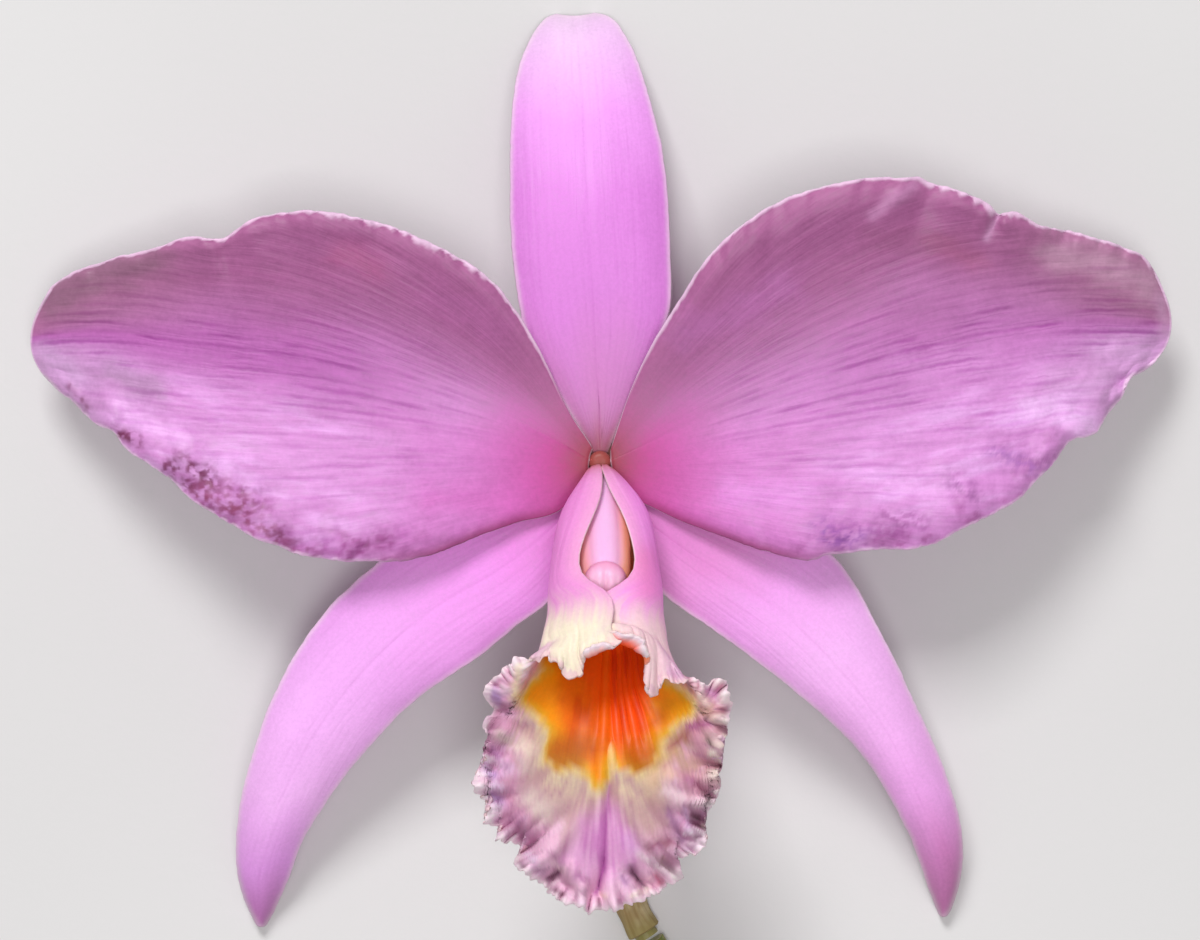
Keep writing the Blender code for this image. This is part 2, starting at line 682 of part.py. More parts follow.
def sepals_and_petals():
    edge_taper = 0.55
    for name, first, middle, last, rows, cols, phase in (
        ("petal_left", PETAL_LEFT_UPPER, PETAL_LEFT_MID, PETAL_LEFT_LOWER, 24, 13, 0.4),
        ("petal_right", PETAL_RIGHT_UPPER, PETAL_RIGHT_MID, PETAL_RIGHT_LOWER, 24, 13, 1.7),
    ):
        grid, t, s = blade(first, middle, last, rows, cols, petal_height(5.3, 3.9, phase))
        thick = PETAL_THICK * (1 - edge_taper * np.abs(s) ** 6)[None] + 0 * t[:, None]
        sheet_mesh(name, grid, thick, 1)
    for name, first, middle, last in (
        ("dorsal_sepal", DORSAL_LEFT, DORSAL_MID, DORSAL_RIGHT),
        ("lateral_sepal_left", SEPAL_LEFT_OUTER, SEPAL_LEFT_MID, SEPAL_LEFT_INNER),
        ("lateral_sepal_right", SEPAL_RIGHT_OUTER, SEPAL_RIGHT_MID, SEPAL_RIGHT_INNER),
    ):
        grid, t, s = blade(first, middle, last, 18, 9, sepal_height)
        grid = stand_on_table(grid)
        thick = SEPAL_THICK * (1 - edge_taper * np.abs(s) ** 6)[None] + 0 * t[:, None]
        sheet_mesh(name, grid, thick, 1)


def material(part):
    mat = bpy.data.materials.new(part.name)
    mat.use_nodes = True
    shader = mat.node_tree.nodes["Principled BSDF"]
    shader.inputs["Base Color"].default_value = (*COLOURS[part.name], 1.0)
    shader.inputs["Roughness"].default_value = 0.5
    shader.inputs["Metallic"].default_value = 0.0
    part.data.materials.clear()
    part.data.materials.append(mat)


def set_down(parts):
    """Moves every part so that the origin is the footprint's middle."""
    bpy.context.view_layer.update()
    graph = bpy.context.evaluated_depsgraph_get()
    low, high = np.full(3, np.inf), np.full(3, -np.inf)
    for part in parts:
        if part.hide_render:
            continue
        seen = part.evaluated_get(graph)
        corners = np.array([tuple(c) for c in seen.bound_box])
        low, high = np.minimum(low, corners.min(0)), np.maximum(high, corners.max(0))
    shift = -np.array([(low[0] + high[0]) / 2, (low[1] + high[1]) / 2, low[2]])
    for part in parts:
        for vertex in part.data.vertices:
            vertex.co = vertex.co + type(vertex.co)(shift)
        part.data.update()
    return shift


def main():
    for old in list(bpy.data.objects):
        bpy.data.objects.remove(old, do_unlink=True)
    sepals_and_petals()
    sheet_mesh("lip", lip_surface(15, 89), LIP_THICK, 1)
    column_mesh()
    cap_mesh()
    pollinarium_mesh()
    stems()
    parts = [part for part in bpy.data.objects if part.type == "MESH"]
    shift = set_down(parts)
    print("junction at", [round(float(s), 6) for s in shift])
    for part in parts:
        if not part.hide_render:
            material(part)


main()
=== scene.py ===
"""Looks of the cattleya flower that lies face up: every visible surface, modelled
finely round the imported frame, with its materials, a pale floor, light and camera.

Shapes are worked out in millimetres about the junction, where sepals, petals, lip
and column meet: +X right, +Y along the dorsal sepal, +Z out of the open flower.
Outlines and markings are placed in view units, right and down, as seen by someone
who looks straight into the flower from VIEW_DISTANCE.
"""

import math

import bpy  # noqa: E402
import numpy as np  # noqa: E402
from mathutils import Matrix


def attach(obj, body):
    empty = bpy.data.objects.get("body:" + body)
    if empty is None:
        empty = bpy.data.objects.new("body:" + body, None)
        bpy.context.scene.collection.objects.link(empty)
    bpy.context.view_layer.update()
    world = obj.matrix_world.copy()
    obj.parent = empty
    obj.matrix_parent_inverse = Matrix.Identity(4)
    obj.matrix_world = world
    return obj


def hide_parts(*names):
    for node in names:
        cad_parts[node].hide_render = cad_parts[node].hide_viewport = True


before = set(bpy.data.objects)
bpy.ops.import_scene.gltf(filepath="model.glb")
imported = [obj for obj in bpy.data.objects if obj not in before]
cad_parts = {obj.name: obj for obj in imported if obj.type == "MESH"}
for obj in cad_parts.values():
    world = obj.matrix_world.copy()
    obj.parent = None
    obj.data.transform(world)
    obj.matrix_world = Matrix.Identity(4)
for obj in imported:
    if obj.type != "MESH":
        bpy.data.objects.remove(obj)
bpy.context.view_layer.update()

MM = 0.001
UNIT = 0.1228
VIEW_CENTRE = (600.0, 470.0)
VIEW_DISTANCE = 550.0
JUNCTION_V = 462.0
JUNCTION_HEIGHT = 17.5
JUNCTION = np.array([-0.124, 7.029, 17.484])  # of the frame, mm

SEPAL_THICK = 0.95
PETAL_THICK = 0.70
LIP_THICK = 0.70

# ---------------------------------------------------------------- outlines

PETAL_LEFT_UPPER = [
    (592, 448), (584, 436), (570, 415), (555, 384), (540, 352), (524, 324),
    (500, 290), (475, 268), (450, 253), (425, 241), (400, 230), (375, 222),
    (350, 216), (325, 212), (300, 211), (275, 214), (250, 221), (236, 231),
    (226, 238), (215, 240), (200, 238), (185, 238), (170, 243), (150, 250),
    (125, 256), (100, 263), (75, 272), (64, 278), (52, 287),
]
PETAL_LEFT_MID = [
    (588, 459), (525, 425), (450, 397), (375, 375), (300, 358), (225, 348),
    (150, 338), (100, 333), (31, 337),
]
PETAL_LEFT_LOWER = [
    (588, 471), (577, 489), (562, 508), (541, 517), (520, 521), (500, 528),
    (480, 535), (460, 543), (440, 551), (420, 557), (400, 561), (375, 561),
    (350, 561), (325, 559), (300, 554), (275, 545), (250, 535), (225, 520),
    (200, 505), (185, 493), (170, 478), (155, 468), (140, 458), (125, 447),
    (113, 430), (100, 425), (85, 414), (70, 398), (58, 389), (47, 378),
]
PETAL_RIGHT_UPPER = [
    (611, 449), (617, 432), (626, 405), (640, 370), (655, 340), (668, 319),
    (682, 297), (700, 268), (725, 240), (750, 220), (775, 204), (800, 194),
    (825, 186), (850, 181), (875, 178), (900, 178), (918, 177), (927, 182),
    (950, 188), (975, 197), (990, 206), (998, 214), (1010, 212), (1025, 218),
    (1040, 226), (1060, 230), (1075, 233), (1090, 237), (1110, 242),
    (1125, 248), (1144, 258), (1155, 274),
]
PETAL_RIGHT_MID = [
    (612, 460), (640, 447), (700, 420), (775, 392), (850, 368), (925, 348),
    (1000, 333), (1075, 323), (1171, 325),
]
PETAL_RIGHT_LOWER = [
    (613, 471), (624, 489), (640, 501), (655, 508), (680, 520), (720, 535),
    (750, 546), (780, 555), (805, 560), (835, 553), (852, 552), (875, 549),
    (895, 549), (915, 548), (935, 543), (960, 530), (980, 520), (1000, 510),
    (1020, 497), (1035, 481), (1045, 472), (1058, 455), (1068, 442),
    (1078, 437), (1090, 435), (1098, 430), (1105, 418), (1115, 405),
    (1124, 391), (1128, 379), (1139, 373), (1152, 364),
]
DORSAL_LEFT = [
    (594, 453), (574, 420), (548, 378), (528, 340), (520, 305), (515, 270),
    (512, 235), (511, 200), (511, 150), (513, 110), (518, 75), (525, 53),
    (535, 34), (546, 20), (557, 16),
]
DORSAL_MID = [
    (600, 453), (599, 400), (596, 330), (592, 260), (588, 190), (584, 120),
    (580, 60), (576, 17.5),
]
DORSAL_RIGHT = [
    (606, 453), (622, 420), (642, 378), (660, 340), (669, 305), (670, 270),
    (669, 235), (666, 185), (661, 148), (654, 118), (645, 86), (634, 55),
    (622, 32), (610, 19), (594, 15),
]
SEPAL_LEFT_OUTER = [
    (589, 469), (555, 484), (500, 504), (450, 522), (412, 540), (380, 562),
    (360, 579), (340, 597), (320, 620), (300, 648), (285, 675), (270, 707),
    (258, 740), (248, 775), (241, 805), (238, 835), (238, 860), (242, 885),
    (248, 903), (255, 917),
]
SEPAL_LEFT_MID = [
    (594, 474), (560, 520), (500, 570), (430, 612), (370, 665), (325, 720),
    (290, 780), (266, 835), (255, 880), (260, 925),
]
SEPAL_LEFT_INNER = [
    (598, 480), (580, 540), (552, 597), (520, 622), (480, 655), (440, 681),
    (400, 713), (370, 745), (340, 781), (315, 818), (302, 840), (293, 864),
    (284, 888), (274, 909), (266, 923),
]
SEPAL_RIGHT_OUTER = [
    (611, 469), (640, 484), (700, 503), (755, 520), (800, 536), (832, 556),
    (846, 573), (859, 593), (871, 616), (883, 639), (896, 664), (907, 689),
    (918, 712), (928, 733), (940, 762), (951, 793), (959, 822), (961, 850),
    (958, 880), (950, 906),
]
SEPAL_RIGHT_MID = [
    (606, 474), (640, 515), (700, 560), (770, 605), (830, 660), (875, 715),
    (908, 775), (932, 830), (946, 875), (944, 915),
]
SEPAL_RIGHT_INNER = [
    (602, 480), (625, 540), (660, 590), (700, 620), (750, 655), (780, 678),
    (820, 711), (850, 739), (875, 771), (897, 808), (914, 843), (924, 872),
    (932, 895), (939, 912),
]

PETAL_HEIGHT = [
    (0.0, 0.05), (0.1, 0.20), (0.2, 0.7), (0.35, 1.5), (0.5, 1.6),
    (0.65, 0.6), (0.8, -1.9), (0.9, -4.8), (1.0, -8.8),
]
SEPAL_HEIGHT = [
    (0.0, -1.1), (0.15, -1.15), (0.3, -1.2), (0.45, -1.9), (0.6, -3.5),
    (0.75, -6.8), (0.88, -11.2), (1.0, -16.8),
]

# Lip tube rings: dorsal point and floor point (y, z), half width, middle x, and
# how far the left and right margins stop short of meeting, in degrees.
TUBE_RINGS = [
    ((-0.45, 0.95), (-4.20, 0.95), 1.80, 0.10, 3, 3),
    ((-1.41, 4.95), (-6.60, 1.50), 3.10, 0.35, 3, 3),
    ((-3.46, 7.85), (-10.00, 2.15), 5.00, 0.57, 5, 9),
    ((-6.08, 10.90), (-13.60, 3.60), 5.85, 0.57, 13, 23),
    ((-9.54, 14.50), (-17.60, 6.20), 6.33, 0.60, 27, 33),
    ((-13.15, 17.96), (-21.30, 9.40), 6.60, 0.66, 24, 26),
    ((-16.05, 20.70), (-24.20, 12.30), 6.94, 0.60, -5, -13),
    ((-18.70, 23.05), (-26.90, 14.90), 7.50, 0.45, -7, -17),
]
# Lines round the mouth, its crest and the middle of the limb: (angle, x, y, z).
MOUTH_LINE = [
    (-180, 1.25, -19.5, 24.1), (-150, -2.4, -20.5, 23.6),
    (-120, -5.6, -21.3, 22.2), (-90, -7.8, -24.0, 20.5),
    (-45, -7.2, -28.5, 18.6), (-20, -3.2, -31.0, 17.6), (0, 0.3, -31.3, 17.4),
    (20, 4.2, -31.0, 17.6), (45, 8.4, -28.5, 18.8), (90, 9.2, -24.8, 20.6),
    (120, 6.9, -21.8, 22.1), (150, 4.2, -19.8, 23.2), (180, -0.9, -19.0, 22.9),
]
CREST_LINE = [
    (-180, 1.5, -20.2, 24.8), (-150, -2.5, -21.8, 24.3),
    (-120, -6.6, -22.2, 23.2), (-90, -9.7, -26.6, 21.9),
    (-45, -9.7, -34.0, 20.0), (-20, -4.5, -37.6, 19.0), (0, 0.2, -38.4, 18.6),
    (20, 5.4, -37.6, 19.0), (45, 10.7, -34.0, 20.2), (90, 11.4, -27.3, 22.0),
    (120, 7.7, -23.2, 22.9), (150, 4.7, -21.0, 24.0), (180, -0.3, -19.5, 23.6),
]
LIMB_LINE = [
    (-180, 1.9, -20.8, 25.4), (-150, -2.5, -22.8, 24.6),
    (-120, -7.2, -22.8, 23.7), (-90, -11.6, -27.6, 21.7),
    (-45, -11.6, -39.6, 18.9), (-20, -5.6, -45.0, 17.4), (0, 0.0, -46.2, 16.8),
    (20, 6.6, -45.0, 17.4), (45, 12.3, -39.5, 18.9), (90, 13.6, -28.4, 21.7),
    (120, 8.1, -24.4, 23.2), (150, 5.0, -22.3, 24.4), (180, 0.3, -20.0, 24.3),
]
# Toothed margin of the limb in the front view: (angle, right, down, height).
MARGIN_LINE = [
    (-180, 621, 641, 25.8), (-173, 613, 646, 25.6), (-167, 604, 643.5, 25.4),
    (-161, 594, 646, 25.2), (-156, 586.5, 649.5, 25.0), (-152.5, 583, 658, 24.8),
    (-149.5, 582.5, 668, 24.6), (-146, 578.5, 676, 24.4), (-142.5, 571.5, 678, 24.3),
    (-139, 565, 673.5, 24.2), (-135.5, 560.5, 666, 24.2), (-131, 554, 662, 24.2),
    (-125, 546, 657, 24.0), (-119, 536, 661, 23.5), (-113, 526, 657, 23.0),
    (-107, 517, 658, 22.7),
    (-101, 506, 667, 22.3), (-95, 491, 680, 21.8), (-89, 487, 700, 21.2),
    (-84, 495, 711, 20.6), (-79, 486, 726, 20.0), (-74, 489, 747, 19.6),
    (-69, 481, 768, 19.2), (-64, 474, 783, 18.8), (-60, 481, 796, 18.4),
    (-56, 487, 810, 18.0), (-52, 484, 823, 17.6), (-48, 498, 829, 17.2),
    (-43, 498, 839, 16.8), (-38, 512, 845, 16.3), (-34, 528, 848, 15.9),
    (-30, 513, 861, 15.5), (-26, 529, 876, 15.0), (-21, 544, 885, 14.5),
    (-17, 551, 893, 14.1), (-13, 561, 903, 13.7), (-9, 577, 907, 13.3),
    (-4, 590, 912, 12.9), (0, 600, 910, 12.7), (4, 611, 912, 12.7),
    (9, 628, 904, 13.0), (14, 645, 899, 13.5), (18, 655, 893, 14.0),
    (22, 670, 885, 14.4), (27, 681, 874, 14.8), (31, 673, 863, 15.2),
    (35, 686, 857, 15.6), (39, 698, 852, 16.0), (44, 707, 838, 16.6),
    (49, 704, 819, 17.1), (53, 714, 804, 17.5), (58, 717, 789, 18.0),
    (63, 712, 775, 18.5), (68, 698, 768, 19.0), (72, 713, 755, 19.4),
    (77, 717, 737, 19.9), (83, 729, 718, 20.5), (89, 730, 695, 21.1),
    (95, 721, 681, 21.6), (101, 707, 682, 22.0), (107, 697, 677, 22.4),
    (113, 686, 682, 22.8), (120, 673, 682, 23.3), (126, 665, 680, 23.6),
    (130.5, 660.5, 685.5, 23.8), (134.5, 656, 692.5, 23.9), (138, 650, 693, 24.0),
    (141.5, 645.5, 685.5, 24.1), (146, 645.5, 673, 24.3), (151, 648, 660, 24.6),
    (157, 645, 646, 24.9), (164, 638, 636.5, 25.1), (172, 626, 634, 25.2),
    (180, 612, 634, 24.9),
]
# Outline of the golden patch in the throat, in view units.
GOLD_LINE = [
    (519, 697), (527, 685), (545, 668), (556, 652), (580, 640), (590, 615),
    (640, 612), (655, 640), (662, 676), (671, 684), (684, 691), (694, 702),
    (691, 714), (681, 721), (671, 731), (662, 741), (661, 755), (650, 766),
    (636, 773), (620, 769), (611, 764), (608, 778), (603, 788), (594, 786),
    (585, 773), (572, 769), (556, 768), (546, 760), (545, 748), (550, 737),
    (546, 727), (540, 718), (528, 709), (519, 703),
]
# Soft lavender patch in the middle of the lower lobe.
LAVENDER_LINE = [
    (598, 806), (588, 818), (576, 836), (562, 850), (548, 862), (556, 880),
    (580, 892), (606, 898), (632, 890), (650, 878), (648, 860), (636, 840),
    (624, 815), (612, 798), (603, 800),
]

COLUMN_RINGS = [
    ((-1.30, 0.90), (-3.10, 0.90), 0.95, 0.05),
    ((-1.80, 3.85), (-4.30, 2.20), 1.90, 0.20),
    ((-4.03, 7.10), (-6.79, 4.50), 2.35, 0.33),
    ((-6.65, 10.10), (-9.60, 7.35), 2.60, 0.45),
    ((-9.40, 13.00), (-12.60, 10.25), 2.75, 0.52),
    ((-11.30, 14.80), (-15.40, 12.60), 2.80, 0.60),
    ((-11.90, 15.20), (-16.40, 14.30), 2.60, 0.62),
]
CAP_CENTRE = (0.65, -14.15, 15.12)
CAP_HALF = (2.55, 2.35, 2.45)
CAP_WALL = 0.45
CAP_TILT = 11.3

OVARY_TOP = -1.95
OVARY_RADIUS = 2.45
PEDICEL_RADIUS = 1.2
PEDUNCLE_RADIUS = 1.5
BOSS_RADIUS = 0.75
STEM_LINE = [
    (0.0, -16.0), (0.1, -24.0), (0.4, -33.0), (1.1, -42.0), (2.4, -50.5),
    (4.3, -56.8), (6.4, -60.5), (9.8, -65.0), (14.4, -70.0),
]
BEND_RADIUS = 13.2


# ------------------------------------------------------------------ numbers


def spline(knots, values, at):
    """Natural cubic spline through rows of values at rising knots."""
    knots = np.asarray(knots, float)
    values = np.asarray(values, float)
    shape = values.shape[1:]
    flat = values.reshape(len(knots), -1)
    gap = np.diff(knots)
    n = len(knots)
    left = np.eye(n)
    right = np.zeros_like(flat)
    for i in range(1, n - 1):
        left[i, i - 1 : i + 2] = gap[i - 1], 2 * (gap[i - 1] + gap[i]), gap[i]
        right[i] = 6 * (
            (flat[i + 1] - flat[i]) / gap[i] - (flat[i] - flat[i - 1]) / gap[i - 1]
        )
    bend = np.linalg.solve(left, right)
    at = np.asarray(at, float)
    j = np.clip(np.searchsorted(knots, at, side="right") - 1, 0, n - 2)
    h = gap[j][:, None]
    a = (knots[j + 1] - at)[:, None] / h
    b = 1 - a
    out = (
        a * flat[j]
        + b * flat[j + 1]
        + ((a**3 - a) * bend[j] + (b**3 - b) * bend[j + 1]) * h**2 / 6
    )
    return out.reshape(at.shape + shape)


def course(points):
    """A smooth curve through the given points: many points of it, the share of its
    length and the number of given points behind each."""
    p = np.asarray(points, float)
    step = np.linalg.norm(np.diff(p, axis=0), axis=1) ** 0.5
    knots = np.concatenate([[0.0], np.cumsum(step)])
    at = np.linspace(0, knots[-1], 30 * len(p))
    fine = spline(knots, p, at)
    run = np.concatenate(
        [[0.0], np.cumsum(np.linalg.norm(np.diff(fine, axis=0), axis=1))]
    )
    return fine, run / run[-1], np.interp(at, knots, np.arange(len(p)))


def along(points, shares):
    """Points at shares of the length of a smooth curve through the given ones."""
    fine, run, _ = course(points)
    return np.stack(
        [np.interp(shares, run, fine[:, i]) for i in range(fine.shape[1])], axis=-1
    )


def ease(x, low, high):
    t = np.clip((np.asarray(x, float) - low) / (high - low), 0, 1)
    return t * t * (3 - 2 * t)


def corner(ix, iy, seed):
    """A fixed number from 0 to 1 for each corner of a square grid."""
    h = (ix * 374761393 + iy * 668265263 + seed * 974634777) & 0xFFFFFFFF
    h = ((h ^ (h >> 13)) * 1274126177) & 0xFFFFFFFF
    h = h ^ (h >> 16)
    return (h & 0xFFFF) / 65535.0


def noise(x, y, seed):
    """Smooth noise from -1 to 1 with one bump or dip to a grid square."""
    x, y = np.broadcast_arrays(np.asarray(x, float), np.asarray(y, float))
    ix, iy = np.floor(x).astype(np.int64), np.floor(y).astype(np.int64)
    fx, fy = x - ix, y - iy
    fx = fx**3 * (fx * (fx * 6 - 15) + 10)
    fy = fy**3 * (fy * (fy * 6 - 15) + 10)
    low = corner(ix, iy, seed) * (1 - fx) + corner(ix + 1, iy, seed) * fx
    high = corner(ix, iy + 1, seed) * (1 - fx) + corner(ix + 1, iy + 1, seed) * fx
    return 2 * (low * (1 - fy) + high * fy) - 1


def layered(x, y, seed, count=3):
    total, weight = 0.0, 0.0
    for k in range(count):
        total = total + noise(x * 2**k, y * 2**k, seed + 31 * k) / 2**k
        weight += 1 / 2**k
    return total / weight


def smoothed(rows, width):
    """Rows averaged with a bell curve of that width in rows, ends held."""
    reach = int(3 * width)
    bell = np.exp(-0.5 * (np.arange(-reach, reach + 1) / width) ** 2)
    bell /= bell.sum()
    padded = np.concatenate(
        [
            2 * rows[0] - rows[1 : reach + 1][::-1],
            rows,
            2 * rows[-1] - rows[-reach - 1 : -1][::-1],
        ]
    )
    return np.stack(
        [np.convolve(padded[:, i], bell, "valid") for i in range(rows.shape[1])], -1
    )


def tone(r, g, b):
    """A colour given as it shows on a screen, in the shader's own scale."""
    c = np.array([r, g, b], float) / 255
    return np.where(c <= 0.04045, c / 12.92, ((c + 0.055) / 1.055) ** 2.4)


def ramp(at, stops):
    """Colour at a place along stops of (place, colour)."""
    places = [place for place, _ in stops]
    colours = np.array([colour for _, colour in stops])
    return np.stack([np.interp(at, places, colours[:, i]) for i in range(3)], -1)


def mix(a, b, share):
    share = np.asarray(share, float)[..., None]
    return a + (b - a) * np.clip(share, 0, 1)


# -------------------------------------------------------------------- shapes


def from_view(u, v, z):
    """The point at height z that the front view shows at (u, v)."""
    scale = UNIT * (VIEW_DISTANCE - z) / VIEW_DISTANCE
    x = (u - VIEW_CENTRE[0]) * scale
    y = (VIEW_CENTRE[1] - v) * scale - (VIEW_CENTRE[1] - JUNCTION_V) * UNIT
    return np.stack([x, y, z + 0 * x], axis=-1)


def to_view(points):
    scale = UNIT * (VIEW_DISTANCE - points[..., 2]) / VIEW_DISTANCE
    u = VIEW_CENTRE[0] + points[..., 0] / scale
    v = VIEW_CENTRE[1] - (
        points[..., 1] + (VIEW_CENTRE[1] - JUNCTION_V) * UNIT
    ) / scale
    return np.stack([u, v], axis=-1)


def normals(grid):
    down = np.gradient(grid, axis=0)
    across = np.gradient(grid, axis=1)
    n = np.cross(down, across)
    return n / np.maximum(np.linalg.norm(n, axis=-1, keepdims=True), 1e-9)


def stroke(uv, line, width):
    """How near each point of the view is to a drawn line, as a bell curve of that
    width, and how far along the line it is, from 0 to 1."""
    line = np.asarray(line, float)
    steps = np.linalg.norm(np.diff(line, axis=0), axis=1)
    begin = np.concatenate([[0.0], np.cumsum(steps)])
    best = np.full(uv.shape[:-1], np.inf)
    share = np.zeros(uv.shape[:-1])
    for i, step in enumerate(steps):
        d = (line[i + 1] - line[i]) / step
        rel = uv - line[i]
        at = np.clip(rel @ d, 0, step)
        far = np.linalg.norm(rel - at[..., None] * d, axis=-1)
        near = far < best
        best = np.where(near, far, best)
        share = np.where(near, (begin[i] + at) / begin[-1], share)
    return np.exp(-((best / width) ** 2)), share


def folds(uv, lines):
    """Height in mm of ridges, and of grooves below zero, drawn in the view. Each
    is (line, width, height at its start, height at its end)."""
    total = np.zeros(uv.shape[:-1])
    for line, width, first, last in lines:
        weight, share = stroke(uv, line, width)
        total += weight * (first + (last - first) * ease(share, 0, 1))
    return total


def inside(uv, outline):
    """Distance in view units from an outline, above zero inside it."""
    outline = np.asarray(outline, float)
    ends = np.roll(outline, -1, axis=0)
    near = np.full(uv.shape[:-1], np.inf)
    within = np.zeros(uv.shape[:-1], bool)
    for a, b in zip(outline, ends):
        d = b - a
        rel = uv - a
        at = np.clip((rel @ d) / (d @ d), 0, 1)
        near = np.minimum(near, np.linalg.norm(rel - at[..., None] * d, axis=-1))
        if a[1] != b[1]:
            crosses = (a[1] > uv[..., 1]) != (b[1] > uv[..., 1])
            where = a[0] + (uv[..., 1] - a[1]) / (b[1] - a[1]) * (b[0] - a[0])
            within ^= crosses & (uv[..., 0] < where)
    return np.where(within, near, -near)


def body(name, points, faces, marks, sharp=None):
    """A piece in metres. marks are its point attributes by name; tint is a colour."""
    mesh = bpy.data.meshes.new(name)
    world = (np.asarray(points, float) + JUNCTION) * MM
    world[:, 2] = np.maximum(world[:, 2], 0.0)
    mesh.from_pydata(world.tolist(), [], faces)
    mesh.shade_smooth()
    if sharp is not None:
        mesh.set_sharp_from_angle(angle=math.radians(sharp))
    for key, values in marks.items():
        values = np.asarray(values, np.float32)
        if key == "tint":
            made = mesh.color_attributes.new(key, "FLOAT_COLOR", "POINT")
            full = np.ones((len(values), 4), np.float32)
            full[:, :3] = np.clip(values, 0, 1)
            made.data.foreach_set("color", full.ravel())
        elif values.ndim == 2:
            made = mesh.attributes.new(key, "FLOAT_VECTOR", "POINT")
            made.data.foreach_set("vector", values.ravel())
        else:
            made = mesh.attributes.new(key, "FLOAT", "POINT")
            made.data.foreach_set("value", values)
    piece = bpy.data.objects.new(name, mesh)
    bpy.context.scene.collection.objects.link(piece)
    return piece


def shell(name, grid, thick, front, back, rim):
    """A closed thin sheet round a grid of points with a rounded edge. front, back
    and rim give the attributes of its two faces and of its edge."""
    rows, cols = grid.shape[:2]
    n = normals(grid)
    half = np.broadcast_to(np.asarray(thick, float) / 2, (rows, cols))[..., None]
    count = rows * cols
    index = np.arange(count).reshape(rows, cols)
    a, b, c, d = (
        index[:-1, :-1].ravel(), index[1:, :-1].ravel(),
        index[1:, 1:].ravel(), index[:-1, 1:].ravel(),
    )
    faces = np.stack([a, b, c, d], 1).tolist()
    faces += (np.stack([a, d, c, b], 1) + count).tolist()
    loop = np.concatenate(
        [index[0], index[1:, -1], index[-1, :-1][::-1], index[1:-1, 0][::-1]]
    )
    inner = np.concatenate(
        [index[1], index[1:, -2], index[-2, :-1][::-1], index[1:-1, 1][::-1]]
    )
    flat = grid.reshape(-1, 3)
    out = flat[loop] - flat[inner]
    out /= np.maximum(np.linalg.norm(out, axis=1, keepdims=True), 1e-9)
    edge = flat[loop] + out * half.reshape(-1, 1)[loop] * 0.75
    points = np.concatenate(
        [(grid + n * half).reshape(-1, 3), (grid - n * half).reshape(-1, 3), edge]
    )
    here = np.arange(len(loop))
    there = (here + 1) % len(loop)
    ring = 2 * count
    faces += np.stack([loop[here], loop[there], ring + there, ring + here], 1).tolist()
    faces += np.stack(
        [ring + here, ring + there, count + loop[there], count + loop[here]], 1
    ).tolist()
    marks = {}
    for key in front:
        f = np.asarray(front[key], float)
        g = np.asarray(back[key], float)
        tail = f.shape[2:]
        f, g = f.reshape(count, *tail), g.reshape(count, *tail)
        middle = rim[key] if key in rim else (f[loop] + g[loop]) / 2
        middle = np.broadcast_to(middle, f[loop].shape)
        marks[key] = np.concatenate([f, g, middle])
    return body(name, points, faces, marks)


def facing(grid, *others):
    """Turns a grid and its marks over where its front would look down."""
    if normals(grid)[..., 2].mean() < 0:
        return (grid[:, ::-1], *[o[:, ::-1] for o in others])
    return (grid, *others)


def tube(name, rings, marks, sharp=None):
    """A closed body through rings of points, each end drawn in to a point."""
    rings = np.asarray(rings, float)
    count, sides = rings.shape[:2]
    points = rings.reshape(-1, 3)
    faces = []
    for i in range(count - 1):
        for j in range(sides):
            k = (j + 1) % sides
            faces.append(
                (i * sides + j, i * sides + k, (i + 1) * sides + k, (i + 1) * sides + j)
            )
    first = len(points)
    points = np.concatenate([points, rings[0].mean(0)[None], rings[-1].mean(0)[None]])
    last = (count - 1) * sides
    for j in range(sides):
        k = (j + 1) % sides
        faces.append((first, k, j))
        faces.append((first + 1, last + j, last + k))
    volume = 0.0
    for f in faces[:: max(1, len(faces) // 4000)]:
        p = points[list(f[:3])] - points.mean(0)
        volume += p[0] @ np.cross(p[1], p[2])
    if volume < 0:
        faces = [f[::-1] for f in faces]
    full = {}
    for key, values in marks.items():
        values = np.asarray(values, float)
        tail = values.shape[2:]
        full[key] = np.concatenate(
            [
                values.reshape(count * sides, *tail),
                values[0].mean(0)[None],
                values[-1].mean(0)[None],
            ]
        )
    return body(name, points, faces, full, sharp)


# ----------------------------------------------------------------- materials


